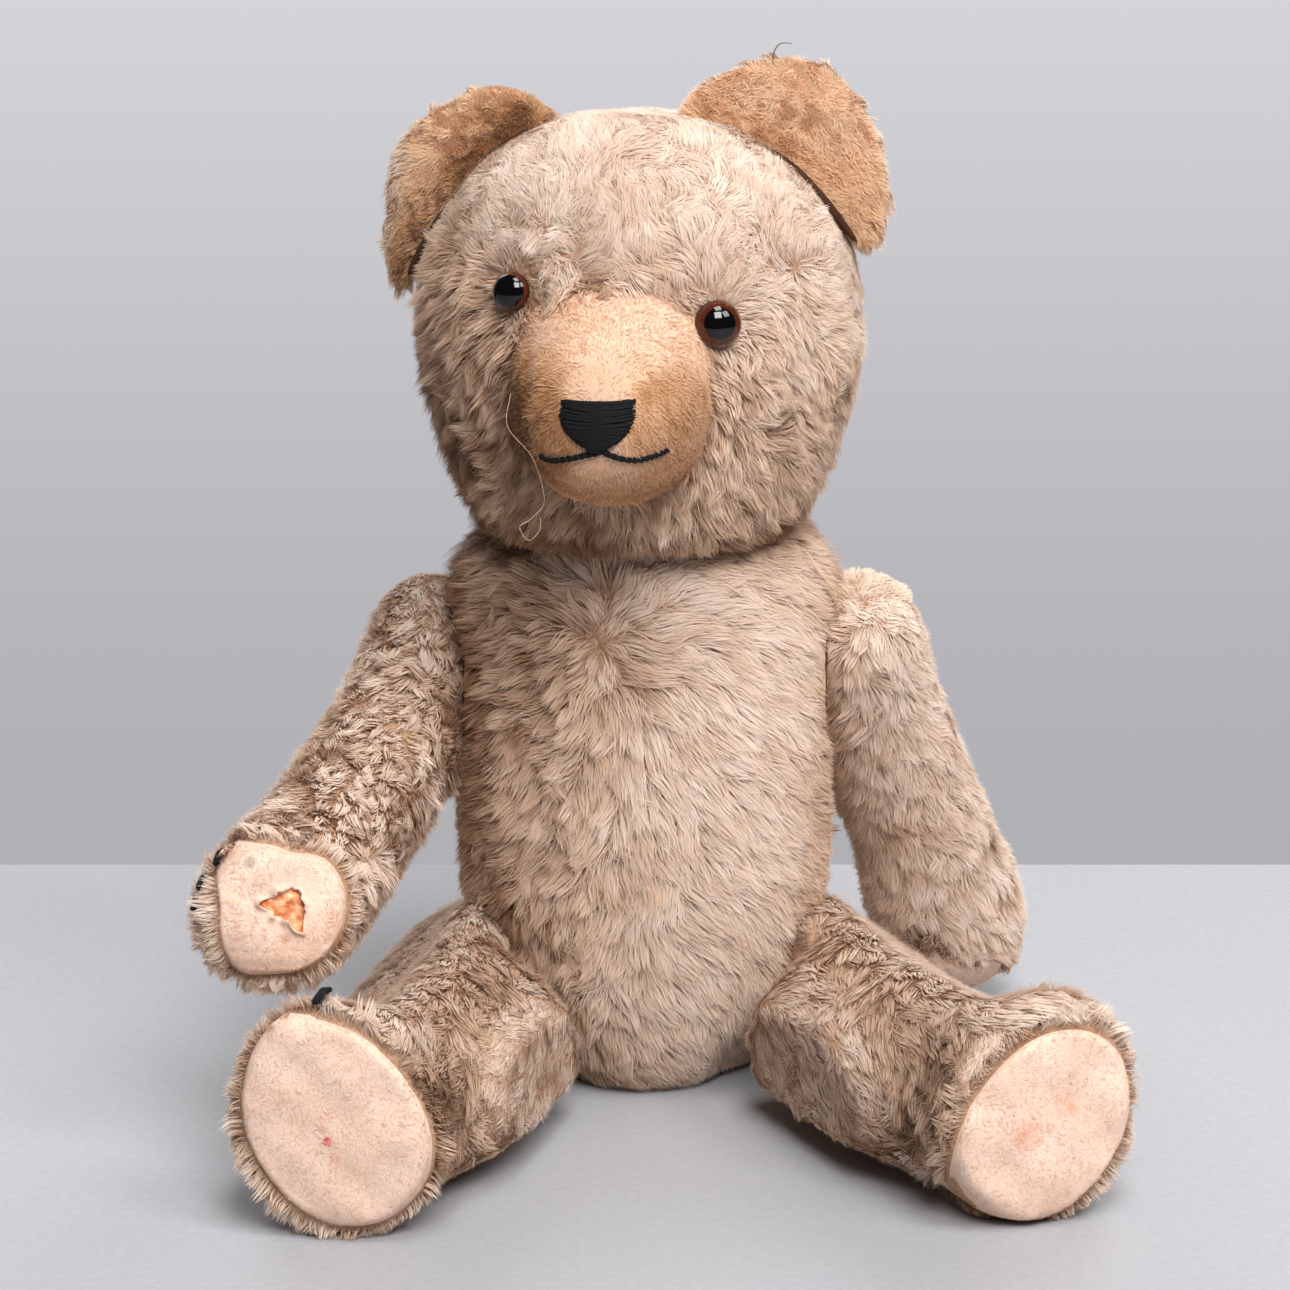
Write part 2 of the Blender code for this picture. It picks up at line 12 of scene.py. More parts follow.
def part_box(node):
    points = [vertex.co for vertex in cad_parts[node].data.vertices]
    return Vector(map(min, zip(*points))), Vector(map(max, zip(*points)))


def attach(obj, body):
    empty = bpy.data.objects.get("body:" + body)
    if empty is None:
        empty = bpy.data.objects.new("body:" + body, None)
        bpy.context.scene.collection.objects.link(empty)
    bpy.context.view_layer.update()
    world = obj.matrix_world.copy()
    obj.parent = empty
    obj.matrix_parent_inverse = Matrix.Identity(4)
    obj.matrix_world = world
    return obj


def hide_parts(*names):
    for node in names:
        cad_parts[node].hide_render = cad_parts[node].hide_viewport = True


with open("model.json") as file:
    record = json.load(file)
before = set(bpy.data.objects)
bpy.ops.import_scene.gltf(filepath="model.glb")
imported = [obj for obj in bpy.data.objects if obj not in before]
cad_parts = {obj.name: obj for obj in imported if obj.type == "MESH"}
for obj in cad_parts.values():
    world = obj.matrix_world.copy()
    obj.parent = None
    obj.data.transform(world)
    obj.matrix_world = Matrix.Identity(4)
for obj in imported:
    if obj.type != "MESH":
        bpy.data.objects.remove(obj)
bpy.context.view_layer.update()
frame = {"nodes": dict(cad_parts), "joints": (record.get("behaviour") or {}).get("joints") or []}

mm = 0.001
up = np.array((0.0, 0.0, 1.0))
print("frame loaded:", len(frame["nodes"]), "pieces of the plain model")

# Camera, table, backdrop and lamps

view = {"distance": 1.2, "elevation": 14, "aim": (0, 0, 0.119), "lens": 119.6, "film": 36}
table = {"near": -2.0, "far": 0.18, "side": 2.5, "thick": 0.03}
backdrop = {"far": 3.4, "side": 5.0, "low": -2.2, "high": 2.6, "fade": (-1.0, 0.5)}
lamps = {
    "key": {"turn": 12, "height": 46, "size": 1.15, "power": 68},
    "top": {"turn": 25, "height": 75, "size": 1.0, "power": 34},
    "side": {"turn": 52, "height": 45, "size": 1.0, "power": 29},
    "backRight": {"turn": 150, "height": 40, "size": 1.2, "power": 22},
    "backLeft": {"turn": 210, "height": 40, "size": 1.2, "power": 18},
}
lampDistance = 2.8
roomLight = 0.06


def paint(red, green, blue):
    # an everyday 0 to 255 colour as the linear one that shaders take
    parts = np.array((red, green, blue)) / 255
    linear = np.where(parts <= 0.04045, parts / 12.92, ((parts + 0.055) / 1.055) ** 2.4)
    return (*linear.tolist(), 1.0)


class Wire:
    # a socket that adds up like a number: each sign puts in a Math node

    def __init__(self, finish, socket):
        self.finish = finish
        self.socket = socket

    def maths(self, operation, *values):
        return self.finish.node("ShaderNodeMath", {"operation": operation}, dict(enumerate(values)))

    def __add__(self, other):
        return self.maths("ADD", self, other)

    def __radd__(self, other):
        return self.maths("ADD", other, self)

    def __sub__(self, other):
        return self.maths("SUBTRACT", self, other)

    def __rsub__(self, other):
        return self.maths("SUBTRACT", other, self)

    def __mul__(self, other):
        return self.maths("MULTIPLY", self, other)

    def __rmul__(self, other):
        return self.maths("MULTIPLY", other, self)

    def __pow__(self, other):
        return self.maths("POWER", self, other)


class Finish:
    # one material: the Principled node and what is wired into it

    def __init__(self, name, constants):
        self.material = bpy.data.materials.new(name)
        self.material.use_nodes = True
        self.nodes = self.material.node_tree.nodes
        self.links = self.material.node_tree.links
        self.surface = self.nodes["Principled BSDF"]
        for socket, value in constants.items():
            self.surface.inputs[socket].default_value = value
        self.place = self.node("ShaderNodeTexCoord", output="Object")

    def node(self, kind, settings=None, inputs=None, output=0):
        made = self.nodes.new(kind)
        for key, value in (settings or {}).items():
            if key == "stops":
                self.setStops(made.color_ramp, value)
            else:
                setattr(made, key, value)
        for key, value in (inputs or {}).items():
            if isinstance(value, Wire):
                self.links.new(value.socket, made.inputs[key])
            else:
                made.inputs[key].default_value = value
        return Wire(self, made.outputs[output])

    def setStops(self, ramp, stops):
        while len(ramp.elements) < len(stops):
            ramp.elements.new(0.5)
        for element, (position, colour) in zip(ramp.elements, stops):
            element.position = position
            element.color = colour

    def ramp(self, factor, *stops):
        return self.node("ShaderNodeValToRGB", {"stops": stops}, {"Fac": factor})

    def noise(self, scale, detail=3, rough=0.55, place=None):
        inputs = {"Vector": place or self.place, "Scale": scale, "Detail": detail, "Roughness": rough}
        return self.node("ShaderNodeTexNoise", None, inputs)

    def mix(self, factor, first, second, blend="MIX"):
        settings = {"data_type": "RGBA", "blend_type": blend}
        return self.node("ShaderNodeMix", settings, {0: factor, 6: first, 7: second}, 2)

    def stretch(self, scale, place=None):
        return self.node("ShaderNodeMapping", None, {"Vector": place or self.place, "Scale": scale})

    def split(self, place, *axes):
        # the numbers of a place along the axes named
        parts = self.node("ShaderNodeSeparateXYZ", None, {0: place}).socket.node
        return [Wire(self, parts.outputs[axis]) for axis in axes]

    def mapped(self, name):
        return self.node("ShaderNodeUVMap", {"uv_map": name})

    def streaks(self, place, scale, detail):
        # noise drawn out along a place
        inputs = {"Vector": self.stretch(scale, place), "Scale": 1.0, "Detail": detail}
        return self.node("ShaderNodeTexNoise", None, inputs)

    def step(self, value, low, high):
        # 0 below low, 1 above high
        settings = {"interpolation_type": "SMOOTHSTEP"}
        return self.node("ShaderNodeMapRange", settings, {"Value": value, "From Min": low, "From Max": high})

    def spot(self, centre, size):
        # 1 at centre, fading to 0 at size
        inputs = {0: self.place, 1: tuple(centre)}
        away = self.node("ShaderNodeVectorMath", {"operation": "DISTANCE"}, inputs, "Value")
        return 1 - self.step(away, size * 0.35, size)

    def wire(self, socket, value):
        self.links.new(value.socket, self.surface.inputs[socket])

    def bump(self, height, strength, distance):
        inputs = {"Height": height, "Strength": strength, "Distance": distance}
        self.wire("Normal", self.node("ShaderNodeBump", None, inputs))


def grained(name, constants, noise, tones, bump=None):
    # a finish whose colour, and bump if it has one, follow one noise
    finish = Finish(name, constants)
    grain = finish.noise(*noise)
    finish.wire("Base Color", finish.ramp(grain, *tones))
    if bump:
        finish.bump(grain, *bump)
    return finish


def addObject(name, data):
    obj = bpy.data.objects.new(name, data)
    bpy.context.scene.collection.objects.link(obj)
    return obj


def addMesh(name, points, faces, material, smoothed=True):
    mesh = bpy.data.meshes.new(name)
    mesh.from_pydata([tuple(point) for point in points], [], [tuple(face) for face in faces])
    mesh.polygons.foreach_set("use_smooth", np.full(len(mesh.polygons), smoothed))
    mesh.materials.append(material)
    mesh.update()
    return addObject(name, mesh)


def makeStage():
    camera = addObject("camera", bpy.data.cameras.new("camera"))
    camera.data.lens = view["lens"]
    camera.data.sensor_width = view["film"]
    tip = math.radians(view["elevation"])
    away = Vector((0, -math.cos(tip), math.sin(tip))) * view["distance"]
    camera.location = Vector(view["aim"]) + away
    camera.rotation_euler = (math.pi / 2 - tip, 0, 0)
    bpy.context.scene.camera = camera

    tones = (0.3, paint(162, 162, 166)), (0.7, paint(170, 170, 174))
    top = grained("table_top", {"Roughness": 0.55}, (420, 4), tones)
    near, far, side, thick = (table[key] for key in ("near", "far", "side", "thick"))
    outline = ((-side, near), (side, near), (side, far), (-side, far))
    corners = [(x, y, z) for z in (-thick, 0) for x, y in outline]
    sides = [(0, 3, 2, 1), (4, 5, 6, 7), (0, 1, 5, 4), (1, 2, 6, 5), (2, 3, 7, 6), (3, 0, 4, 7)]
    addMesh("table", corners, sides, top.material, False)

    # the backdrop glows instead of being lit: painted light, darker towards the bottom
    wall = Finish("backdrop", {"Roughness": 1.0, "Base Color": (0, 0, 0, 1), "Emission Strength": 1.0})
    share = wall.step(wall.split(wall.place, "Z")[0], *backdrop["fade"])
    wall.wire("Emission Color", wall.mix(share, paint(176, 175, 180), paint(224, 223, 228)))
    side, far = backdrop["side"], backdrop["far"]
    low, high = backdrop["low"], backdrop["high"]
    sheet = [(-side, far, low), (side, far, low), (side, far, high), (-side, far, high)]
    addMesh("backdrop", sheet, [(0, 1, 2, 3)], wall.material, False)

    for name, lamp in lamps.items():
        light = bpy.data.lights.new(name, "AREA")
        light.shape = "SQUARE"
        light.size = lamp["size"]
        light.energy = lamp["power"]
        obj = addObject(name, light)
        turn, height = math.radians(lamp["turn"]), math.radians(lamp["height"])
        level = math.cos(height)
        way = Vector((math.sin(turn) * level, -math.cos(turn) * level, math.sin(height)))
        obj.location = Vector(view["aim"]) + way * lampDistance
        obj.rotation_euler = (Vector(view["aim"]) - obj.location).to_track_quat("-Z", "Y").to_euler()
    world = bpy.data.worlds.new("room")
    world.use_nodes = True
    world.node_tree.nodes["Background"].inputs["Color"].default_value = paint(236, 238, 244)
    world.node_tree.nodes["Background"].inputs["Strength"].default_value = roomLight
    bpy.context.scene.world = world
    bpy.context.scene.view_settings.view_transform = "Standard"


makeStage()
print("camera, table, backdrop and lamps set")

# Whole-array helpers


def unit(vectors):
    return vectors / np.maximum(np.linalg.norm(vectors, axis=-1, keepdims=True), 1e-9)


def across(vectors, way):
    # what is left of vectors once their share along way is taken off
    return vectors - (vectors @ way)[..., None] * way


def lap(count):
    # angles evenly once round
    return np.linspace(0, 2 * math.pi, count, endpoint=False)


def polar(reach, turn):
    return np.stack((reach * np.cos(turn), reach * np.sin(turn)), axis=-1)


def ease(low, high, value):
    # 0 below low, 1 above high, and smooth between
    share = np.clip((value - low) / (high - low), 0, 1)
    return share * share * (3 - 2 * share)


waves = 8


def ripple(points, size, seed):
    # slow random hills: the sum of a few sine waves of about this length in random directions
    rng = np.random.default_rng(seed)
    turns = unit(rng.normal(size=(waves, 3))) * rng.uniform(0.6, 1.5, (waves, 1))
    phase = rng.uniform(0, 2 * math.pi, waves)
    return np.sin(points @ turns.T * (2 * math.pi / size) + phase).sum(axis=-1) / 2.8


def stir(points, size, seed):
    # ripple as a vector
    return np.stack([ripple(points, size, seed + part) for part in (0, 1, 2)], axis=-1)


def listed(items, key, kind=float, width=3):
    # one value of many mesh items as an array, a row each
    values = np.empty(len(items) * width, kind)
    items.foreach_get(key, values)
    return values.reshape(-1, width)


def pointsOf(mesh):
    return listed(mesh.vertices, "co")


def shownMesh(obj):
    graph = bpy.context.evaluated_depsgraph_get()
    return bpy.data.meshes.new_from_object(obj.evaluated_get(graph))


def arraysOf(obj):
    # points, triangles and point normals of an object as it is shown
    mesh = shownMesh(obj)
    mesh.calc_loop_triangles()
    points = pointsOf(mesh)
    triangles = listed(mesh.loop_triangles, "vertices", np.int32)
    normals = listed(mesh.vertex_normals, "vector", np.float32).astype(float)
    bpy.data.meshes.remove(mesh)
    return points, triangles, normals


def treeOf(obj):
    points, triangles, _ = arraysOf(obj)
    return BVHTree.FromPolygons(points.tolist(), triangles.tolist())


def gapTo(tree, points):
    # how far each point is from a surface
    return np.array([tree.find_nearest(point)[3] for point in points.tolist()])


def landOn(tree, starts, ways):
    # where lines from starts along ways meet a surface
    hits = [tree.ray_cast(start, way)[0] for start, way in zip(starts.tolist(), ways.tolist())]
    return np.array([hit if hit else (np.nan,) * 3 for hit in hits])


def gridMesh(name, points, material, closed=False, capped=(False, False), uv=None):
    # a surface of two parameters, points[row, column]: columns close on themselves where closed,
    # and a capped first or last row is fanned to its middle
    rows, columns = points.shape[:2]
    index = np.arange(rows * columns).reshape(rows, columns)
    after = np.roll(index, -1, axis=1) if closed else index[:, 1:]
    here = index if closed else index[:, :-1]
    quads = np.stack((here[:-1], after[:-1], after[1:], here[1:]), axis=-1).reshape(-1, 4)
    flat = points.reshape(-1, 3)
    faces = quads.tolist()
    for row, cap in ((0, capped[0]), (-1, capped[1])):
        if cap:
            flat = np.vstack((flat, points[row].mean(axis=0)))
            ring = index[row]
            pairs = zip(np.roll(ring, -1), ring) if row == 0 else zip(ring, np.roll(ring, -1))
            faces += [(int(a), int(b), len(flat) - 1) for a, b in pairs]
    obj = addMesh(name, flat, faces, material)
    if uv is not None:
        values = np.zeros((len(flat), 2))
        values[: rows * columns] = uv.reshape(-1, 2)
        layUv(obj.data, "shade", values)
    return obj


def layUv(mesh, name, perPoint):
    corners = listed(mesh.loops, "vertex_index", np.int32, 1)[:, 0]
    layer = mesh.uv_layers.new(name=name)
    layer.data.foreach_set("uv", perPoint[corners].astype(np.float32).ravel())


def faceOut(obj):
    bm = bmesh.new()
    bm.from_mesh(obj.data)
    bmesh.ops.remove_doubles(bm, verts=bm.verts, dist=1e-6)
    bmesh.ops.recalc_face_normals(bm, faces=bm.faces)
    bm.to_mesh(obj.data)
    bm.free()
    return obj


tubeEnd = 0.35


def tubePoints(path, radius, sides):
    # rings of a tube: the path plus radius * (cos * side + sin * other), the ends drawn in
    path = np.asarray(path, float)
    along = unit(np.gradient(path, axis=0))
    spare = np.where(np.abs(along[:, 2:]) > 0.9, np.array((1.0, 0, 0)), up)
    side = unit(np.cross(along, spare))
    other = np.cross(along, side)
    turn = lap(sides)[None, :, None]
    swell = np.full(len(path), radius) if np.isscalar(radius) else radius
    swell = swell.copy()
    swell[[0, -1]] *= tubeEnd
    spokes = np.cos(turn) * side[:, None] + np.sin(turn) * other[:, None]
    return path[:, None] + swell[:, None, None] * spokes


def tubes(name, paths, radius, sides, material):
    # many capped tubes as one piece
    points, faces, start = [], [], 0
    for path in paths:
        rings = tubePoints(path, radius, sides)
        rows = len(rings)
        index = np.arange(rows * sides).reshape(rows, sides) + start
        after = np.roll(index, -1, axis=1)
        faces += np.stack((index[:-1], after[:-1], after[1:], index[1:]), axis=-1).reshape(-1, 4).tolist()
        faces += [index[0][::-1].tolist(), index[-1].tolist()]
        points.append(rings.reshape(-1, 3))
        start += rows * sides
    return faceOut(addMesh(name, np.vstack(points), faces, material))


def curveThrough(points, count):
    # a smooth line through a few points: Catmull-Rom pieces, read at count places
    knots = np.asarray(points, float)
    knots = np.vstack((2 * knots[0] - knots[1], knots, 2 * knots[-1] - knots[-2]))
    at = np.linspace(0, len(points) - 1 - 1e-9, count)
    i = at.astype(int)
    t = (at - i)[:, None]
    a, b, c, d = knots[i], knots[i + 1], knots[i + 2], knots[i + 3]
    return 0.5 * (2 * b + (c - a) * t + (2 * a - 5 * b + 4 * c - d) * t**2 + (3 * b - a - 3 * c + d) * t**3)


# Head's own axes: x to the bear's left, y to the back, z up from the neck, in mm

headSet = {"neck": (0, 0, 0.157), "turn": -8.5}
cosine, sine = math.cos(math.radians(headSet["turn"])), math.sin(math.radians(headSet["turn"]))
headTurn = np.array(((cosine, sine, 0), (-sine, cosine, 0), (0, 0, 1)))
headFront = np.array((0.0, -1.0, 0.0)) @ headTurn


def onHead(points):
    # head's own mm to metres in the frame
    return np.asarray(points, float) @ headTurn * mm + headSet["neck"]


def ownOfHead(points):
    return (points - headSet["neck"]) @ headTurn.T / mm


# Finishes


def pileFinish(name, low, mid, high, through=0.35):
    # cut pile coloured by the hair's own map: u goes from soiled to bleached hair, its dark end also holding
    # painted shade, and v from the root to the tip, whose darker roots are partly the hair's own colour and
    # partly painted shade deep in the pile; light comes through a hair as well as off it
    pile = Finish(name, {"Roughness": 0.75, "Specular IOR Level": 0.25})
    uv = pile.mapped("OFBake")
    shade, rise = pile.split(uv, "X", "Y")
    wornAndShaded = shade + (pile.streaks(uv, (620, 2.2, 1), 2) - 0.5) * 0.16
    roots = pile.ramp(wornAndShaded, (0.0, low[0]), (0.5, mid[0]), (1.0, high[0]))
    tips = pile.ramp(wornAndShaded, (0.0, low[1]), (0.5, mid[1]), (1.0, high[1]))
    colour = pile.mix(pile.step(rise, 0.0, 0.75), roots, tips)
    pile.wire("Base Color", colour)
    glow = pile.node("ShaderNodeBsdfTranslucent", None, {"Color": colour})
    both = pile.node("ShaderNodeMixShader", None, {0: through, 2: glow})
    pile.links.new(pile.surface.outputs[0], both.socket.node.inputs[1])
    pile.links.new(both.socket, pile.nodes["Material Output"].inputs["Surface"])
    return pile.material


mohair = pileFinish(
    "mohair_pile",
    (paint(104, 66, 42), paint(164, 120, 88)),
    (paint(190, 154, 127), paint(238, 210, 184)),
    (paint(226, 202, 182), paint(253, 240, 228)),
)
plush = pileFinish(
    "clipped_plush_pile",
    (paint(88, 54, 32), paint(132, 88, 54)),
    (paint(182, 134, 94), paint(222, 180, 138)),
    (paint(220, 182, 154), paint(238, 206, 182)),
)
earPlush = pileFinish(
    "golden_plush_pile",
    (paint(112, 68, 34), paint(168, 116, 70)),
    (paint(208, 162, 120), paint(240, 202, 164)),
    (paint(238, 204, 170), paint(251, 230, 204)),
)
feltHair = pileFinish(
    "felt_fibre",
    (paint(196, 128, 88), paint(214, 150, 110)),
    (paint(232, 192, 164), paint(240, 206, 182)),
    (paint(242, 220, 202), paint(248, 230, 216)),
)


def backingFinish():
    # woven ground of the mohair: a fine grid of two yarns, soiled in patches
    ground = Finish("mohair_ground", {"Roughness": 0.95, "Specular IOR Level": 0.15})
    patches = ground.noise(38, 4)
    grain = ground.noise(900, 3, 0.7)
    tones = (0.32, paint(164, 124, 94)), (0.55, paint(190, 152, 122)), (0.75, paint(214, 172, 146))
    base = ground.ramp(patches, *tones)
    ground.wire("Base Color", ground.mix((1 - ground.step(grain, 0.3, 0.6)) * 0.5, base, paint(110, 78, 58)))
    ground.bump(grain, 0.6, 0.0006)
    return ground.material


backing = backingFinish()
yarnGap = 0.00085


def plushGround():
    # short plush: its u map is how clean the cloth is, lowered by painted shade in places, with the grain of
    # clipped hairs over it
    cloth = Finish("plush_ground", {"Roughness": 0.9, "Specular IOR Level": 0.15})
    cleanAndLit, bare = cloth.split(cloth.mapped("shade"), "X", "Y")
    grain = cloth.noise(1400, 3, 0.75)
    shade = cleanAndLit + (grain - 0.5) * 0.55
    darkAndShaded, wornAndShaded = (0.0, paint(92, 58, 34)), (0.45, paint(176, 126, 86))
    hair = cloth.ramp(shade, darkAndShaded, wornAndShaded, (0.75, paint(216, 174, 142)), (1.0, paint(234, 200, 176)))
    pitch = 2 * math.pi / yarnGap
    across, rise = cloth.split(cloth.place, "X", "Z")
    weave = (across * pitch).maths("SINE", across * pitch) * (rise * pitch).maths("SINE", rise * pitch)
    knots = cloth.step(weave, 0.1, 0.6)
    ground = cloth.mix(knots, paint(208, 166, 134), paint(240, 208, 182))
    cloth.wire("Base Color", cloth.mix(bare, hair, ground))
    cloth.bump(grain + knots * bare * 0.6, 0.7, 0.0005)
    return cloth.material


plushCloth = plushGround()


def feltFinish(name, spots):
    # wool felt, with stains: each spot is (centre, size, colour, strength)
    felt = Finish(name, {"Roughness": 0.92, "Specular IOR Level": 0.15})
    broad = felt.noise(70, 4)
    fibre = felt.noise(1100, 4, 0.75)
    tones = (0.3, paint(234, 200, 178)), (0.55, paint(241, 211, 192)), (0.8, paint(246, 220, 204))
    colour = felt.ramp(broad, *tones)
    colour = felt.mix((1 - felt.step(fibre, 0.28, 0.62)) * 0.35, colour, paint(224, 178, 148))
    broken = felt.step(felt.noise(620, 3, 0.7), 0.36, 0.62) * 0.6 + 0.4
    for centre, size, patch, strength in spots:
        colour = felt.mix(felt.spot(centre, size) * broken * strength, colour, patch)
    felt.wire("Base Color", colour)
    felt.bump(fibre + broad * 0.5, 0.6, 0.0006)
    return felt.material


def threadFinish(name, colour, gloss, scale):
    # spun yarn: plies as slanting streaks
    yarn = Finish(name, {"Roughness": gloss, "Specular IOR Level": 0.25})
    streak = yarn.noise(scale, 4, 0.7)
    yarn.wire("Base Color", yarn.mix(streak, colour[0], colour[1]))
    yarn.bump(streak, 0.5, 0.0002)
    return yarn.material


blackThread = threadFinish("black_thread", (paint(7, 7, 9), paint(24, 24, 28)), 0.85, 2600)
mohairFibre = threadFinish("mohair_fibre", (paint(112, 84, 60), paint(150, 118, 90)), 0.7, 900)
# painted shadow: the dark finish of the tube under each ear's front edge
earShadowFinish = threadFinish("painted_seam_shadow", (paint(40, 22, 12), paint(84, 50, 28)), 0.95, 700)
paleThread = threadFinish("pale_thread", (paint(196, 160, 120), paint(236, 212, 184)), 0.8, 1800)


def hardFinishes():
    # the parts inside: wood wool, hardboard and steel wire, each with its own grain
    wool = Finish("wood_wool", {"Roughness": 0.9})
    strands = wool.noise(1.0, 4, 0.6, wool.stretch((160, 900, 500)))
    wool.wire("Base Color", wool.ramp(strands, (0.3, paint(150, 116, 70)), (0.7, paint(214, 184, 130))))
    wool.bump(strands, 0.8, 0.001)
    tones = (0.35, paint(92, 62, 40)), (0.65, paint(140, 100, 68))
    board = grained("hardboard", {"Roughness": 0.7}, (900, 4, 0.7), tones, (0.3, 0.0003))
    steel = Finish("steel_wire", {"Metallic": 1.0})
    rust = steel.noise(240, 4)
    steel.wire("Base Color", steel.ramp(rust, (0.45, paint(168, 166, 162)), (0.75, paint(120, 84, 60))))
    steel.wire("Roughness", 0.3 + steel.step(rust, 0.45, 0.75) * 0.45)
    finishes = {"_stuffing": wool, "_disc_inner": board, "_disc_outer": board}
    finishes.update({"_washer_inner": steel, "_washer_outer": steel, "_pin": steel, "_shank": steel})
    for name, node in frame["nodes"].items():
        for ending, finish in finishes.items():
            if name.endswith(ending):
                node.data.materials.clear()
                node.data.materials.append(finish.material)


hardFinishes()
print("finishes mixed")

# Stuffed cloth: each form is remeshed, blown up as cloth and kept off its joints

cloth = {"voxel": 0.0032, "smoothing": 5, "slack": 0.0012, "most": 0.002}
cloth.update({"pressure": 4.0, "frames": 20, "give": 0.0006})
jointGap = 0.0003
tableGap = 0.0002
stuffedForms = {
    "torso": ("torso_skin", "torso_stuffing"),
    "head": ("head_skin", "head_stuffing"),
    "arm_left": ("arm_left_skin", "arm_left_stuffing", "paw_pad_left"),
    "arm_right": ("arm_right_skin", "arm_right_stuffing", "paw_pad_right"),
    "leg_left": ("leg_left_skin", "leg_left_stuffing", "foot_pad_left"),
    "leg_right": ("leg_right_skin", "leg_right_stuffing", "foot_pad_right"),
}
thighTop = 0.033  # the torso is cut away beside the thighs up to here above the hip


def jointPlanes():
    # for each limb or head: a point of its joint and the way out of the torso
    planes = {}
    for joint in frame["joints"]:
        place, axis = np.array(joint["pos_m"], float), unit(np.array(joint["axis"], float))
        planes[joint["child"]] = (place, -axis if axis[0] * place[0] < 0 else axis)
    return planes


planes = jointPlanes()


def jointsOf(body):
    # the joints that a body touches: the torso all of them, a limb or the head its own
    return [(limb, place, out) for limb, (place, out) in planes.items() if body in (limb, "torso")]


def joinNodes(name, nodes):
    bm = bmesh.new()
    for node in nodes:
        bm.from_mesh(frame["nodes"][node].data)
    bmesh.ops.remove_doubles(bm, verts=bm.verts, dist=1e-6)
    mesh = bpy.data.meshes.new(name)
    bm.to_mesh(mesh)
    bm.free()
    return addObject(name, mesh)


def settle(obj):
    # works the modifiers into the mesh
    mesh = shownMesh(obj)
    obj.modifiers.clear()
    obj.data = mesh
    mesh.polygons.foreach_set("use_smooth", np.ones(len(mesh.polygons), bool))
    return obj


def evenCloth(obj, voxel, smoothing):
    even = obj.modifiers.new("even", "REMESH")
    even.mode = "VOXEL"
    even.voxel_size = voxel
    soft = obj.modifiers.new("soft", "SMOOTH")
    soft.factor = 0.5
    soft.iterations = smoothing
    return settle(obj)


def setPoints(mesh, points):
    mesh.vertices.foreach_set("co", points.ravel())
    mesh.update()


def inflate(obj):
    # cloth over air pressure, without gravity; its swells and hollows are laid on the filled size, within
    # give
    mesh = obj.data
    normals = listed(mesh.vertex_normals, "vector", np.float32)
    start = pointsOf(mesh) - normals * cloth["slack"]
    full = start + normals * cloth["most"]
    setPoints(mesh, start)
    air = obj.modifiers.new("air", "CLOTH")
    air.settings.use_pressure = True
    air.settings.uniform_pressure_force = cloth["pressure"]
    air.settings.effector_weights.gravity = 0
    air.point_cache.frame_end = cloth["frames"]
    for step in range(1, cloth["frames"] + 1):
        bpy.context.scene.frame_set(step)
    blown = arraysOf(obj)[0]
    obj.modifiers.clear()
    bpy.context.scene.frame_set(1)
    move = blown - full
    move = move - normals * (move * normals).sum(axis=1).mean()
    far = np.linalg.norm(move, axis=1, keepdims=True)
    setPoints(mesh, full + move * np.minimum(1, cloth["give"] / np.maximum(far, 1e-9)))


def keepOffJoints(body, points):
    # a limb stays beyond its joint's plane, the torso before all of them
    for limb, place, out in jointsOf(body):
        past = (points - place) @ out
        if body == limb:
            move = np.maximum(jointGap - past, 0)
        else:
            move = -np.maximum(past + jointGap, 0)
            if limb.startswith("leg"):
                move = move * (points[:, 2] < place[2] + thighTop)
        points = points + move[:, None] * out
    points[:, 2] = np.maximum(points[:, 2], tableGap)
    return points


thighBulge = {"leg_left": 0.03, "leg_right": 0.025}
legGap = 0.0008


def hangingGap(body, points):
    # how far a leg's points are from the middle once it hangs straight down
    place, out = planes[body]
    off = points - place
    side = np.sign(out[0])
    hanging = place + (off @ out)[:, None] * out + side * np.cross(out, off)
    return hanging[:, 0] * side


def bulgeThigh(body, points):
    # the inner side of a thigh swells before the body: most at half its height, none within reach of the
    # body, and never past the middle when the legs hang down
    place, out = planes[body]
    off = points - place
    far = np.linalg.norm(across(off, out), axis=1)
    along = ease(0.046, 0.068, far) * ease(0.14, 0.095, far)
    round_ = ease(0.062, 0.012, points[:, 2]) * ease(-0.006, 0.01, points[:, 2])
    inner = ease(0.046, 0.01, off @ out)
    room = np.maximum((hangingGap(body, points) - legGap) / abs(out[0]), 0)
    return points - np.minimum(thighBulge[body] * along * round_ * inner, room)[:, None] * out


thighSlump = {"drop": 0.0115, "height": (0.014, 0.046), "root": 0.0188}
thighSlump.update({"hip": (0.01, 0.026), "foot": (0.006, 0.026)})


def slumpThigh(body, points):
    # a leg is thinner round the hip's axis, and its top sinks between the hip and the foot
    place, out = planes[body]
    foot = arraysOf(frame["nodes"][body.replace("leg", "foot_pad")])[0].mean(axis=0)
    axis = unit(foot - place)
    off = points - place
    free = ease(*thighSlump["hip"], off @ out)
    spoke = across(off, out)
    far = np.linalg.norm(spoke, axis=1)
    behind = ease(0.75, 0.3, (spoke @ axis) / np.maximum(far, 1e-6))
    excess = np.maximum(far - thighSlump["root"], 0) * (1 - free) * behind
    sunk = points - unit(spoke) * excess[:, None]
    drop = thighSlump["drop"] * free * ease(*thighSlump["foot"], (foot - points) @ axis)
    sunk[:, 2] -= drop * ease(*thighSlump["height"], sunk[:, 2])
    return sunk


hipRoom = {"full": 0.062, "low": (0.0462, 0.0535), "high": (0.075, 0.065), "outside": 0.09}


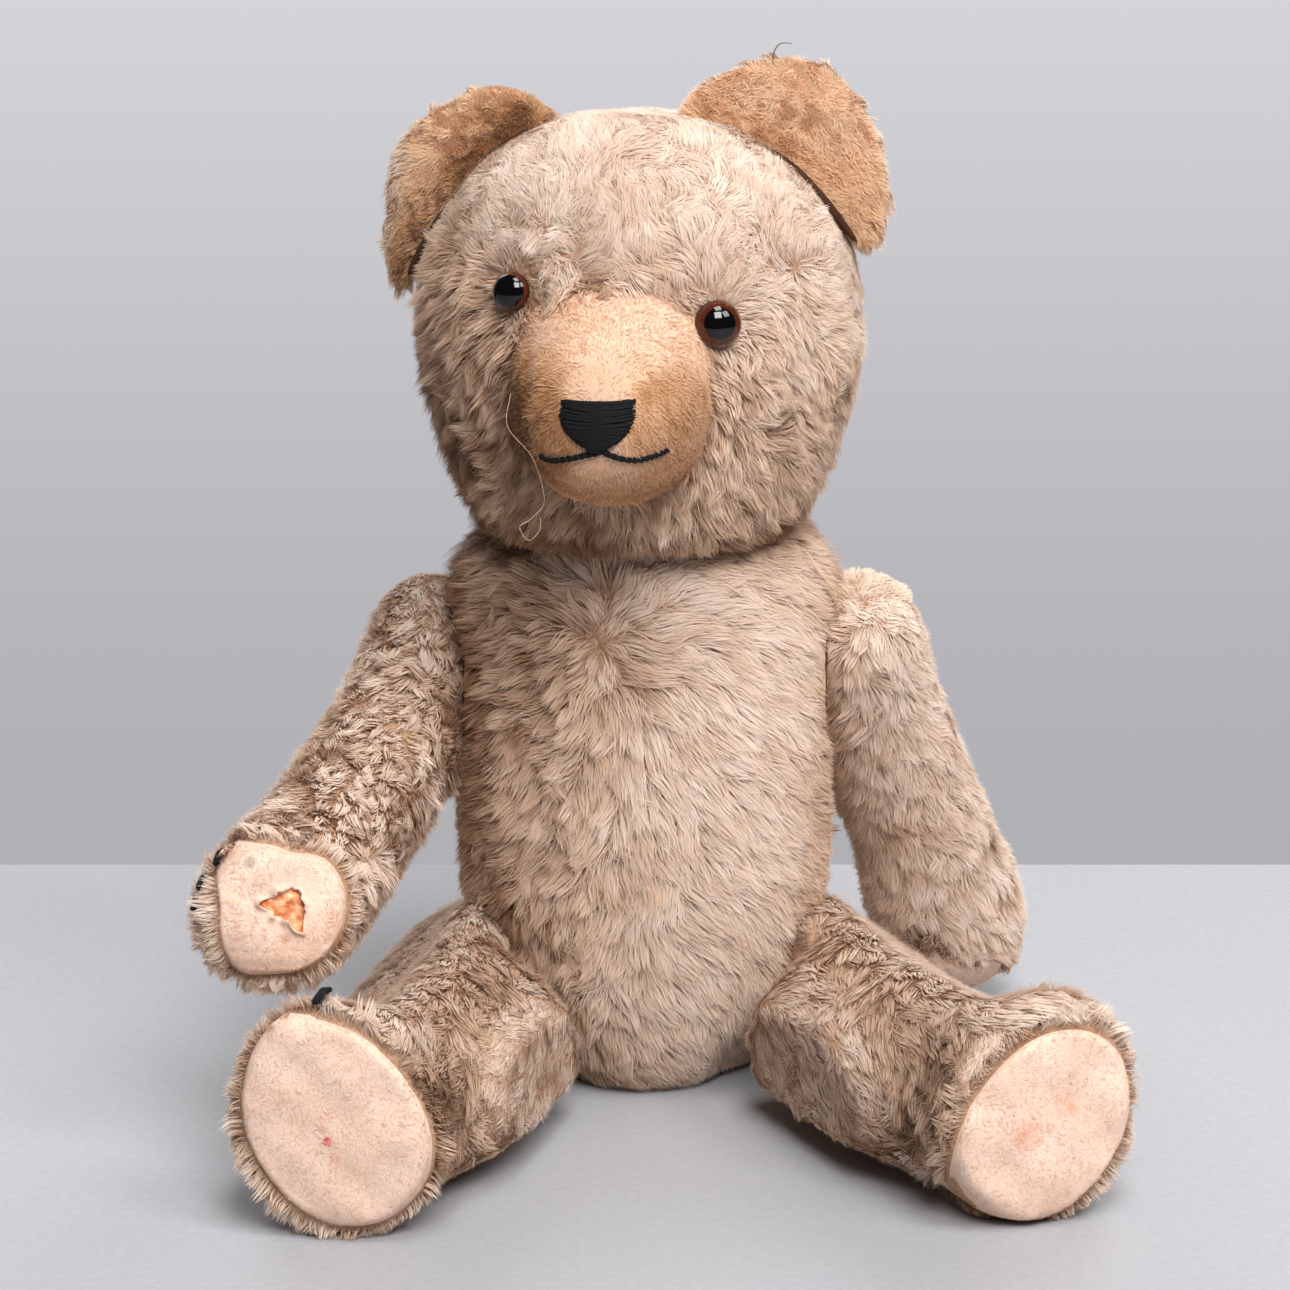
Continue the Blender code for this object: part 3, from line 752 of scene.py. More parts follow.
def fillHips(points):
    # the torso's sides come down over the thighs: its flats there are stretched out to its full width
    tree = treeOf(frame["nodes"]["torso_skin"])
    filled = points.copy()
    for body in thighBulge:
        place, out = planes[body]
        way = np.sign(place[0])
        flat = place[0] - ((points[:, 1:] - place[1:]) @ out[1:]) / out[0]
        starts = points.copy()
        starts[:, 0], starts[:, 2] = way * hipRoom["outside"], hipRoom["full"]
        full = landOn(tree, starts, np.broadcast_to(np.array((-way, 0.0, 0.0)), starts.shape))[:, 0]
        share = np.clip(points[:, 0] / flat, 0, 1)
        amount = ease(*hipRoom["low"], points[:, 2]) * ease(*hipRoom["high"], points[:, 2])
        amount = amount * (share > 0) * ~np.isnan(full)
        wide = np.maximum(share * np.nan_to_num(full) * way, np.abs(points[:, 0])) * way
        filled[:, 0] += (wide - points[:, 0]) * amount
    return filled


belly = {"rise": 0.008, "side": (0.01, 0.028), "height": (0.028, 0.002), "front": (-0.012, -0.034)}


def roundBelly(points):
    # the lower front corners of the torso are rounded up between the thighs
    x, y, z = points.T
    corner = belly["rise"] * ease(*belly["side"], np.abs(x)) * ease(*belly["height"], z)
    rounded = points.copy()
    rounded[:, 2] += corner * ease(*belly["front"], y)
    return rounded


def reshaped(body, points):
    return roundBelly(points) if body == "torso" else slumpThigh(body, points)


forms = {}
for body, nodes in stuffedForms.items():
    form = evenCloth(joinNodes(f"{body}_cloth", nodes), cloth["voxel"], cloth["smoothing"])
    inflate(form)
    setPoints(form.data, keepOffJoints(body, pointsOf(form.data)))
    if body in thighBulge:
        setPoints(form.data, reshaped(body, bulgeThigh(body, pointsOf(form.data))))
    if body == "torso":
        setPoints(form.data, fillHips(reshaped(body, pointsOf(form.data))))
    form.data.materials.clear()
    form.data.materials.append(backing)
    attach(form, body)
    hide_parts(f"{body}_skin")
    forms[body] = form
    print("stuffed", body, len(form.data.polygons), "faces")

for body in ("torso", *thighBulge):
    # the stuffing takes the shape of its cloth
    node = frame["nodes"][f"{body}_stuffing"]
    points, triangles, _ = arraysOf(node)
    wool = addMesh(f"{body}_wool", reshaped(body, points), triangles, node.data.materials[0])
    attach(wool, body)
    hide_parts(f"{body}_stuffing")

formTrees = {body: treeOf(form) for body, form in forms.items()}

# Pile: hairs as narrow ribbons, each bent over from its root and drawn into a lock

lockSet = {"gather": 0.5, "loose": 0.1, "twist": 0.12, "lockShade": 0.08, "hairShade": 0.02}


def scatter(points, triangles, normals, count, rng):
    # roots spread evenly over the area, in random order
    corners = points[triangles]
    area = np.linalg.norm(np.cross(corners[:, 1] - corners[:, 0], corners[:, 2] - corners[:, 0]), axis=1)
    total = np.cumsum(area)
    share = (np.arange(count) + rng.random(count)) / count * total[-1]
    pick = np.minimum(np.searchsorted(total, share), len(area) - 1)
    a, b = rng.random((2, count))
    flip = a + b > 1
    a[flip], b[flip] = 1 - a[flip], 1 - b[flip]
    weights = np.stack((1 - a - b, a, b), axis=-1)[..., None]
    roots = (corners[pick] * weights).sum(axis=1)
    facing = unit((normals[triangles[pick]] * weights).sum(axis=1))
    order = rng.permutation(count)
    return roots[order], facing[order]


def bent(roots, facing, field, joints, rng):
    # a hair leaves its root at the angle lift and settles at droop; a corkscrew of radius curl winds round it
    count = len(roots)
    step = np.linspace(0, 1, joints + 1)
    middle = (step[1:] + step[:-1]) / 2
    lay = unit(field["wish"] - facing * (field["wish"] * facing).sum(axis=1, keepdims=True))
    angle = field["lift"][:, None] + (field["droop"] - field["lift"])[:, None] * middle**0.7
    parts = np.cos(angle)[..., None] * lay[:, None] + np.sin(angle)[..., None] * facing[:, None]
    parts = parts * (field["reach"] / joints)[:, None, None]
    path = np.concatenate((np.zeros((count, 1, 3)), np.cumsum(parts, axis=1)), axis=1)
    side = np.cross(facing, lay)
    phase = rng.uniform(0, 2 * math.pi, count)[:, None] + step * field["turns"][:, None] * 2 * math.pi
    wind = np.cos(phase)[..., None] * side[:, None] + 0.8 * np.sin(phase)[..., None] * facing[:, None]
    wind = wind * field["curl"][:, None, None] * step[:, None] ** 0.7
    return roots[:, None] + path + wind


def drawn(own, roots, locks, lockRoots, tight):
    # hairs lean towards the nearest lock, more and more from root to tip
    tree = KDTree(len(lockRoots))
    for i, place in enumerate(lockRoots.tolist()):
        tree.insert(place, i)
    tree.balance()
    near = np.array([tree.find(place)[1] for place in roots.tolist()])
    step = np.linspace(0, 1, own.shape[1])
    towards = locks[near] + (roots - lockRoots[near])[:, None] * (1 - lockSet["gather"] * step)[:, None]
    pull = ease(0.0, 0.7, step) * tight[:, None]
    return own + (towards - own) * pull[..., None], near


def ribbons(name, curves, facing, width, shade, material, rng):
    # a strip along each curve, narrowing from width to a point, flat side out
    count, rows = curves.shape[:2]
    step = np.linspace(0, 1, rows)
    along = np.gradient(curves, axis=1) if rows > 2 else np.repeat(curves[:, 1:] - curves[:, :1], 2, axis=1)
    side = unit(np.cross(along, facing[:, None]))
    over = unit(np.cross(side, along))
    twist = rng.normal(0, lockSet["twist"], count)[:, None, None]
    side = side * np.cos(twist) + over * np.sin(twist)
    half = side * (width[:, None] * (1 - 0.75 * step**2) / 2)[..., None]
    pairs = np.stack((curves - half, curves + half), axis=2)[:, :-1].reshape(count, -1, 3)
    points = np.concatenate((pairs, curves[:, -1:]), axis=1)
    each = 2 * rows - 1
    at = (np.arange(count) * each)[:, None, None]
    pair = np.arange(rows - 2)[None, :, None] * 2
    quads = (at + pair + np.array((0, 1, 3, 2))).reshape(count, (rows - 2) * 4)
    tips = (at[:, 0] + each + np.array((-3, -2, -1))).reshape(count, -1)
    loops = np.concatenate((quads, tips), axis=1)
    sizes = np.tile(np.array([4] * (rows - 2) + [3]), count)
    mesh = bpy.data.meshes.new(name)
    mesh.vertices.add(count * each)
    mesh.vertices.foreach_set("co", points.astype(np.float32).ravel())
    mesh.loops.add(loops.size)
    mesh.loops.foreach_set("vertex_index", loops.astype(np.int32).ravel())
    mesh.polygons.add(len(sizes))
    mesh.polygons.foreach_set("loop_start", (np.cumsum(sizes) - sizes).astype(np.int32))
    mesh.polygons.foreach_set("use_smooth", np.ones(len(sizes), bool))
    mesh.update(calc_edges=True)
    u = np.clip(shade, 0.01, 0.97)[:, None] + np.array((0, 0.016))
    uv = np.zeros((count, each, 2))
    uv[:, :-1, 0] = np.tile(u, (1, rows - 1))
    uv[:, :-1, 1] = np.repeat(step[:-1], 2)
    uv[:, -1] = np.stack((u[:, 0] + 0.008, np.ones(count)), axis=-1)
    layUv(mesh, "OFBake", uv.reshape(-1, 2))
    mesh.materials.append(material)
    return addObject(name, mesh)


jointReach = {"head": 1.0, "arm": 0.045, "leg": 0.052}
neckDip = 0.0035  # the head's pile may hang this far over its joint
sameSide = 0.0004
capReach = 0.026  # inside this a limb's flat end is against the torso
overlap = 0.004  # outside it the torso's pile may stand this far past the plane
thighHeight = 0.021  # and above this over a joint it is free


def clearOfJoints(body, curves):
    # near a joint's axis hairs stay on their own side of its plane, and around a limb's end the torso's
    # may stand a little past it
    for limb, place, out in jointsOf(body):
        off = curves - place
        past = off @ out
        far = np.linalg.norm(across(off, out), axis=-1)
        beside = far < jointReach[limb.split("_")[0]]
        if body == limb:
            beside = past < -neckDip if limb == "head" else beside
            move = np.maximum(sameSide - past, 0) * beside
        else:
            beyond = ease(capReach, capReach + 0.004, far) * overlap * (limb != "head")
            over = (limb != "head") & (off[..., 2] > thighHeight)
            move = -np.maximum(past + sameSide - beyond, 0) * (beside & ~over)
        curves = curves + move[..., None] * out
    curves[..., 2] = np.maximum(curves[..., 2], 0.0003)
    return curves


def rootsClear(body, roots, facing):
    # no hairs grow where two bodies press on each other
    keep = np.ones(len(roots), bool)
    for limb, place, out in jointsOf(body):
        other = formTrees["torso" if body == limb else limb]
        flat = (np.abs((roots - place) @ out) < 0.0018) & (np.abs(facing @ out) > 0.7)
        keep[flat] = gapTo(other, roots[flat]) > 0.0012
    return keep


def creaseShade(body, points):
    # 1 at a joint's plane, where painted shade darkens the hairs in the crease
    depth = np.zeros(len(points))
    for _, place, out in jointsOf(body):
        depth = np.maximum(depth, ease(0.011, 0.002, np.abs((points - place) @ out)))
    return depth


def leanToJoints(body, points):
    # near a joint hairs lean towards its plane, to close the crease
    lean = np.zeros_like(points)
    for limb, place, out in jointsOf(body):
        if limb != "head":
            past = (points - place) @ out
            way = -out if body == limb else out
            lean = lean + ease(0.014, 0.002, np.abs(past))[:, None] * way
    return lean


def growPile(name, body, source, grow, material, avoid=()):
    # grow holds the numbers of one coat; its field gives the hairs' ways and lengths, each for every hair
    # or as one number for all
    rng = np.random.default_rng(grow["seed"])
    points, triangles, normals = arraysOf(source)
    roots, facing = scatter(points, triangles, normals, grow["count"], rng)
    keep = np.ones(len(roots), bool)
    for tree, gap in avoid:
        keep &= gapTo(tree, roots) > gap
    keep &= rootsClear(body, roots, facing)
    roots, facing = roots[keep], facing[keep]
    given = grow["field"](roots, facing)
    field = {key: value if np.ndim(value) else np.full(len(roots), value) for key, value in given.items()}
    behind = ease(0.0, 0.5, facing[:, 1]) * grow.get("thin", 0.0)
    keep = rng.random(len(roots)) < field["cover"] * (1 - behind)
    roots, facing = roots[keep], facing[keep]
    field = {key: value[keep] for key, value in field.items()}
    count = len(roots)
    every = max(1, int(grow["perLock"]))
    lead = rng.permutation(count)[: max(1, count // every)]
    leads = {key: value[lead] for key, value in field.items()}
    leads["wish"] = unit(leads["wish"]) + grow.get("sway", 0.25) * rng.normal(size=(len(lead), 3))
    leads["lift"] = leads["lift"] * rng.uniform(0.5, 1.5, len(lead))
    leads["reach"] = leads["reach"] * rng.uniform(0.8, 1.2, len(lead))
    locks = bent(roots[lead], facing[lead], leads, grow["joints"], rng)
    loose = dict(field)
    loose["wish"] = unit(field["wish"]) + lockSet["loose"] * rng.normal(size=(count, 3))
    loose["curl"] = field["curl"] * 0.6
    loose["lift"] = field["lift"] * rng.uniform(0.6, 1.5, count)
    loose["wish"] = loose["wish"] + grow.get("stray", 0.0) * rng.normal(size=(count, 3))
    own = bent(roots, facing, loose, grow["joints"], rng)
    curves, near = drawn(own, roots, locks, roots[lead], field["tight"] * rng.uniform(0.75, 1.0, count))
    apart = np.linalg.norm(roots - roots[lead][near], axis=1)
    border = np.clip(apart / (2.2 * np.median(apart)), 0, 1) ** 2 * field.get("tuft", np.zeros(count))
    shorter = (rng.uniform(0.78, 1.06, count) * (1 - 0.4 * border))[:, None, None]
    curves = roots[:, None] + (curves - roots[:, None]) * shorter
    curves = clearOfJoints(body, curves)
    lockShade = rng.normal(0, lockSet["lockShade"], len(lead))[near]
    shade = field["shade"] + lockShade + rng.normal(0, lockSet["hairShade"], count)
    # painted shade darkens hairs in a joint's crease
    shade = shade - 0.35 * creaseShade(body, roots)
    # painted shade darkens hairs at a lock's border, between tufts
    shade = shade - 0.42 * border + 0.06 * ripple(roots, 0.011, 71) + 0.02
    width = grow["width"] * rng.uniform(0.75, 1.25, count)
    pile = ribbons(name, curves, facing, width, shade, material, rng)
    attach(pile, body)
    print("grown", name, count, "hairs")
    return pile


# Felt pads: a domed sheet with its edge turned in, laid on the stuffed end of its limb

padSet = {"lift": 0.0016, "edge": 0.0002, "thick": 0.0012, "wander": 0.00035, "curl": 0.0016, "before": 0.03}
padSet.update({"rows": 26, "columns": 120, "bins": 36, "smoothing": 0.14, "fuzz": 4000})


def padFrame(node):
    # middle, facing, rise and outline of a pad: rise is its upward way, side the viewer's right
    points, triangles, _ = arraysOf(frame["nodes"][node])
    corners = points[triangles]
    area = np.cross(corners[:, 1] - corners[:, 0], corners[:, 2] - corners[:, 0])
    middle = points.mean(axis=0)
    limb = node.replace("paw_pad", "arm").replace("foot_pad", "leg")
    outer = area @ unit(middle - planes[limb][0]) > 0.5 * np.linalg.norm(area, axis=1)
    facing = unit(area[outer].sum(axis=0))
    rise = unit(up - facing * facing[2])
    side = np.cross(rise, facing)
    flat = np.stack(((points - middle) @ side, (points - middle) @ rise), axis=-1)
    turn = np.arctan2(flat[:, 1], flat[:, 0])
    far = np.linalg.norm(flat, axis=1)
    bins = np.linspace(-math.pi, math.pi, padSet["bins"] + 1)
    low, high = bins[:-1], bins[1:]
    most = np.array([far[(turn >= start) & (turn < end)].max(initial=0) for start, end in zip(low, high)])
    good = most > 0.6 * np.median(most)
    made = {"middle": middle, "facing": facing, "rise": rise, "side": side}
    return {**made, "turns": ((low + high) / 2)[good], "reach": most[good]}


def outlineAt(pad, turn):
    # the outline's radius at an angle, smoothed
    near = (turn[:, None] - pad["turns"][None] + math.pi) % (2 * math.pi) - math.pi
    weight = np.exp(-((near / padSet["smoothing"]) ** 2))
    return (weight * pad["reach"]).sum(axis=1) / weight.sum(axis=1)


def onPad(pad, flat):
    # sideways and upward metres from the pad's middle to places in the frame, well before the pad
    before = padSet["before"] * pad["facing"]
    return pad["middle"] + flat[..., :1] * pad["side"] + flat[..., 1:2] * pad["rise"] + before


def layOnLimb(pad, tree, flat, lift):
    # how far a limb, and lift over it, stands before the pad's middle at flat places; beside the limb, its
    # nearest place counts
    starts = onPad(pad, flat).reshape(-1, 3)
    hits = landOn(tree, starts, np.broadcast_to(-pad["facing"], starts.shape))
    missed = np.isnan(hits[:, 0])
    level = starts[missed] - padSet["before"] * pad["facing"]
    beside = [tree.find_nearest(place)[0] for place in level.tolist()]
    if beside:
        hits[missed] = np.array(beside)
    depth = ((hits - pad["middle"]) @ pad["facing"]).reshape(flat.shape[:-1])
    return depth + lift


def tornEdge(edge, hole):
    # the ragged line round a hole, on rays from its heart to the pad's edge
    heart = np.array(hole["heart"]) * mm
    off = np.array(hole["corners"]) * mm - heart
    angles = np.arctan2(off[:, 1], off[:, 0])
    order = np.argsort(angles)
    rays = edge - heart
    ways = np.arctan2(rays[:, 1], rays[:, 0])
    far = np.linalg.norm(off, axis=1)
    reach = np.interp(ways, angles[order], far[order], period=2 * math.pi)
    reach = reach * (1 + 0.05 * np.sin(ways * 9) + 0.03 * np.sin(ways * 17 + 1))
    return heart + reach[:, None] * unit(rays)


def makePad(node, body, spots, shape=None, shift=(0, 0), hole=None, tip=0):
    # shape gives the outline's radius in mm at an angle, where it isn't the plain model's; shift moves its
    # middle, and tip leans the way it faces sideways
    pad = padFrame(node)
    pad["middle"] = pad["middle"] + (pad["side"] * shift[0] + pad["rise"] * shift[1]) * mm
    facing, side = pad["facing"], pad["side"]
    pad["facing"], pad["side"] = unit(facing + tip * side), unit(side - tip * facing)
    tree = treeOf(forms[body])
    turn = lap(padSet["columns"])
    rim = outlineAt(pad, (turn + math.pi) % (2 * math.pi) - math.pi)
    if shape:
        rim = shape(turn) * mm
    edge = polar(rim, turn)
    start = tornEdge(edge, hole) if hole else edge * 0.02
    share = np.linspace(0, 1, padSet["rows"])[:, None, None] ** 0.85
    flat = start * (1 - share) + edge * share
    near = 1 - share[..., 0] ** 2
    crown = np.sqrt(np.clip(near, 0, 1))
    lift = padSet["edge"] + (padSet["lift"] - padSet["edge"]) * ease(0, 0.35, crown)
    wander = padSet["wander"] * ripple(onPad(pad, flat), 0.016, 401)
    depth = layOnLimb(pad, tree, flat, lift + wander * ease(0, 0.4, crown))
    if hole:
        angle = np.arctan2(flat[..., 1], flat[..., 0])
        curl = ease(0.16, 0.0, share[..., 0]) * (0.5 + 0.5 * np.sin(angle * 5))
        depth = depth + padSet["curl"] * curl
    top = flat[..., :1] * pad["side"] + flat[..., 1:2] * pad["rise"] + depth[..., None] * pad["facing"]
    under = top[::-1] - padSet["thick"] * pad["facing"]
    points = pad["middle"] + np.concatenate((top, under))
    if hole:
        points = np.concatenate((points, points[:1]))
    stains = []
    for a, b, size, colour, strength in spots:
        place = np.array((a, b)) * mm
        level = layOnLimb(pad, tree, place[None], padSet["lift"])[0]
        centre = pad["middle"] + place[0] * pad["side"] + place[1] * pad["rise"] + level * pad["facing"]
        stains.append((centre, size * mm, colour, strength))
    caps = (not hole, not hole)
    felt = faceOut(gridMesh(f"{node}_felt", points, feltFinish(f"{node}_felt", stains), True, caps))
    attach(felt, body)
    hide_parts(node)

    def torn(points):
        off = points - pad["middle"] - (pad["side"] * hole["heart"][0] + pad["rise"] * hole["heart"][1]) * mm
        return ease(0.0072, 0.0095, np.linalg.norm(across(off, pad["facing"]), axis=1))

    def combed(points, facing):
        return {
            "wish": stir(points, 0.004, 411) + np.array((0, 0, -0.2)),
            "reach": 0.0016,
            "lift": np.radians(22),
            "droop": np.radians(4),
            "curl": 0.0,
            "turns": 0.0,
            "tight": 0.2,
            "shade": 0.66 + 0.1 * ripple(points, 0.02, 421),
            "cover": (facing @ pad["facing"] > 0.2) * (torn(points) if hole else 1.0),
        }

    grow = {"field": combed, "count": padSet["fuzz"], "perLock": 6, "joints": 1}
    grow.update({"width": 0.0003, "seed": 431, "slot": "felt"})
    growPile(f"{node}_fuzz", body, felt, grow, feltHair)
    felts[body] = treeOf(felt)
    pads[body] = pad


felts, pads = {}, {}
red, pinkish, grey = paint(222, 46, 52), paint(236, 172, 146), paint(150, 138, 132)
brown, brownish, soil = paint(170, 112, 70), paint(216, 150, 116), paint(214, 168, 132)


def bump(turn, angle, width):
    # 1 at an angle, fading within width, both in degrees
    off = (turn - math.radians(angle) + math.pi) % (2 * math.pi) - math.pi
    return np.exp(-((off / math.radians(width)) ** 2))


def rightSole(turn):
    return 24.8 * (1 + 0.11 * np.cos(2 * (turn - math.radians(125))) + 0.1 * bump(turn, 122, 22))


def leftSole(turn):
    return 24.0 * (1 + 0.13 * np.cos(2 * (turn - math.radians(48))))


def rightPaw(turn):
    corners = 4.6 * bump(turn, 138, 19) + 2.8 * bump(turn, -124, 20)
    return 17.0 + corners - 2.4 * bump(turn, 78, 22) - 1.4 * bump(turn, 180, 20)


# stains, shifts and holes are in mm sideways and upward from a pad's middle; a stain is its place, size,
# colour and strength
pawHole = {
    "corners": [
        (-5.4, 1.0), (-1.2, 3.0), (2.2, 5.0), (4.8, 5.1), (6.0, 2.6),
        (6.4, -1.8), (6.2, -5.8), (4.5, -5.4), (2.4, -2.6), (-1.6, -0.6),
    ],
    "heart": (2.9, 1.0),
}
padPlan = {
    "foot_pad_right": {
        "body": "leg_right",
        "shape": rightSole,
        "shift": (1, 0),
        "spots": [
            (-1, -3.6, 1.7, red, 1.4),
            (1, -8, 2.2, pinkish, 0.7),
            (-4, 1, 3, pinkish, 0.45),
            (4, -17, 12, soil, 0.25),
        ],
    },
    "foot_pad_left": {
        "body": "leg_left",
        "shape": leftSole,
        "shift": (0, -3.5),
        "spots": [
            (-6.5, -1, 5.5, pinkish, 0.7),
            (-8, -1, 2.6, brownish, 0.5),
            (-4.5, 1, 2, brownish, 0.4),
            (4.5, 6, 5, pinkish, 0.6),
            (6.5, 4.5, 2.2, brownish, 0.45),
            (2.5, 7, 1.8, brownish, 0.4),
            (0, 0.5, 2, brownish, 0.4),
            (8, -17, 12, soil, 0.25),
        ],
    },
    "paw_pad_left": {
        "body": "arm_left",
        "shift": (2.5, -2.5),
        "tip": 0.15,
        "spots": [(0, 9, 7, soil, 0.2)],
    },
    "paw_pad_right": {
        "body": "arm_right",
        "shape": rightPaw,
        "shift": (4.3, 2.6),
        "hole": pawHole,
        "spots": [
            (-7.9, 12.0, 2.8, grey, 0.8),
            (2.5, 10.0, 3.4, grey, 0.3),
            (1.7, -7.6, 1.8, brown, 0.8),
            (2, -14, 10, soil, 0.45),
            (12, -6, 8, soil, 0.35),
        ],
    },
}
for node, plan in padPlan.items():
    makePad(node, **plan)
paw = pads["arm_right"]

oldFeltSet = {"middle": (0.0018, -0.0005), "radius": 0.0095, "rows": 18, "columns": 64, "folds": 0.0007}
oldFeltSet.update({"lift": 0.0008, "thick": 0.0012})


def makeOldFelt():
    # the crumpled older layer that shows in the hole
    tones = (0.34, paint(196, 112, 66)), (0.48, paint(232, 152, 104)), (0.62, paint(250, 196, 154))
    finish = grained("old_felt", {"Roughness": 0.9}, (420, 4, 0.6), tones, (0.7, 0.0009))
    share = np.linspace(0.02, 1, oldFeltSet["rows"])[:, None]
    flat = oldFeltSet["middle"] + polar(oldFeltSet["radius"] * share, lap(oldFeltSet["columns"]))
    folds = oldFeltSet["folds"] * ripple(onPad(paw, flat), 0.0035, 441) * ease(1, 0.7, share)
    depth = layOnLimb(paw, treeOf(forms["arm_right"]), flat, oldFeltSet["lift"] + 0.6 * folds)
    top = flat[..., :1] * paw["side"] + flat[..., 1:2] * paw["rise"] + depth[..., None] * paw["facing"]
    points = paw["middle"] + np.concatenate((top, top[::-1] - oldFeltSet["thick"] * paw["facing"]))
    layer = faceOut(gridMesh("paw_old_felt", points, finish.material, True, (True, True)))
    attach(layer, "arm_right")
    return treeOf(layer)


oldFelt = makeOldFelt()
print("pads laid")

# Places on the head, in its own mm: the eyes, and for each ear the line where it is sewn on, its free rim
# and the middle of its dish; freshAndLit says how clean and light its lining is, lowered on the right ear by
# painted shade, and deep how much painted shade darkens it towards its base

eyeSet = {
    "left": {"at": (27.6, -56.6, 63.2), "size": 6.3, "iris": 0.64},
    "right": {"at": (-27.0, -56.2, 70.3), "size": 5.2, "iris": 0.8},
}

earShapes = {
    "left": {
        "base": [
            (11.5, -8.5, 110), (20, -9.5, 107), (29.5, -10, 103.8), (39, -9.5, 99.5),
            (47.5, -8, 91.8), (54.5, -6, 83.5), (60, -4, 76),
        ],
        "rim": [
            (64, -1, 80), (65.3, 1, 88), (64.6, 2, 97), (62, 2.5, 105.5), (58.5, 2, 112.5),
            (54.5, 1, 118.3), (48, 0, 123.2), (41.5, -1, 125.5), (33.5, -2, 125.5), (24.5, -3.5, 122.5),
            (16.5, -5, 118.6), (12.5, -7, 114.5),
        ],
        "heart": (44, -3, 108),
        "freshAndLit": 0.78,
        "deep": 0.2,
        "dents": 0.8,
        "seed": 201,
    },
    "right": {
        "base": [
            (-25.5, -8, 110), (-31, -9, 106.3), (-37.5, -9.5, 101.5), (-43, -9.5, 96), (-49, -9, 88.5),
            (-55, -8, 80.8), (-59.8, -7, 73.6), (-63, -6.5, 68), (-65, -6, 64),
        ],
        "rim": [
            (-69, -4, 63), (-71.3, -3, 70), (-72, -1, 80), (-71.4, 0, 89), (-69.5, 1, 96),
            (-66.8, 1.5, 101.8), (-62.5, 1, 106.8), (-56.5, 0, 111), (-50, -1, 114.5), (-44, -2, 116.8),
            (-38, -3, 116.8), (-32.4, -4.5, 115.4), (-28, -6, 113),
        ],
        "heart": (-56, -4, 96.5),
        "freshAndLit": 0.68,
        "deep": 0.42,
        "dents": 0.5,
        "seed": 231,
    },
}


def gapToBase(side, own):
    # how far points are from the line along which an ear is sewn to the head, in the head's own mm
    line = curveThrough(earShapes[side]["base"], 40)
    return np.sqrt(((own[:, None] - line) ** 2).sum(axis=-1)).min(axis=1)


# Muzzle of clipped plush

muzzleSet = {"middle": (0, 43.1), "wide": 27.9, "high": 29, "square": (2.2, 3.4), "rows": 34, "columns": 110}
muzzleSet.update({"smoothing": 14, "fuzz": 16000, "hair": 0.0019, "width": 0.00034, "seed": 11})

# dark spots beside the nose: own x and z in mm, how tall for its width, its edges and its strength
rubbedSpots = [((-14, 41), 1.5, (15, 6), 0.5), ((17, 42), 1.3, (13, 6), 0.3)]


def muzzleWearAndShade(points):
    # cleanAndLit: 1 fresh cloth, 0 rubbed dark beside the nose, and lower with painted shade on the bear's
    # right and low down; bare: 1 where the pile is gone above the nose
    x, _, z = ownOfHead(points).T
    low = ease(58, 46, z)
    grime = np.zeros(len(points))
    for (middle, height), tall, edge, strength in rubbedSpots:
        away = np.hypot(x - middle, (z - height) / tall)
        grime = np.maximum(grime, strength * ease(*edge, away))
    # painted shade: left darkens the bear's right side, most low down, and chin the lowest part under the
    # mouth; right makes the bear's left side a little darker low down
    left = 0.48 * ease(-13, -25, x) * low + 0.2 * ease(-18, -28, x)
    right = 0.06 * ease(12, 26, x) * low
    chin = ease(36, 20, z) * 0.4
    cleanAndLit = 0.85 - grime - left - right - chin
    cleanAndLit = cleanAndLit + 0.05 * ripple(points, 0.012, 151) + 0.05 * ripple(points, 0.004, 152)
    rubbed = np.hypot(x - 2, (z - 54) / 0.7) + ripple(points, 0.006, 153)
    bareness = ease(11.5, 4.5, rubbed) * ease(48, 50, z)
    return np.clip(cleanAndLit, 0.02, 0.97), bareness * 0.75


def fromFront(tree, flat):
    # where lines from before the head, through its own x and z, meet a surface
    starts = onHead(np.stack((flat[:, 0], np.full(len(flat), -130.0), flat[:, 1]), axis=-1))
    return landOn(tree, starts, np.broadcast_to(-headFront, starts.shape))


def castOnHead(tree, flat):
    # own depth y of those places, far back where the lines miss
    depth = ownOfHead(fromFront(tree, flat))[:, 1]
    return np.where(np.isnan(depth), 40.0, depth)


def muzzleShare(flat):
    # own x and z from the muzzle's middle: 0 there and 1 on its outline, which is rounder below and squarer
    # between the eyes
    low, high = muzzleSet["square"]
    power = low + (high - low) * ease(0.0, 0.7, flat[:, 1] / np.maximum(np.linalg.norm(flat, axis=1), 1e-6))
    share = np.abs(flat / (muzzleSet["wide"], muzzleSet["high"])) ** power[:, None]
    return (share[:, 0] + share[:, 1]) ** (1 / power)


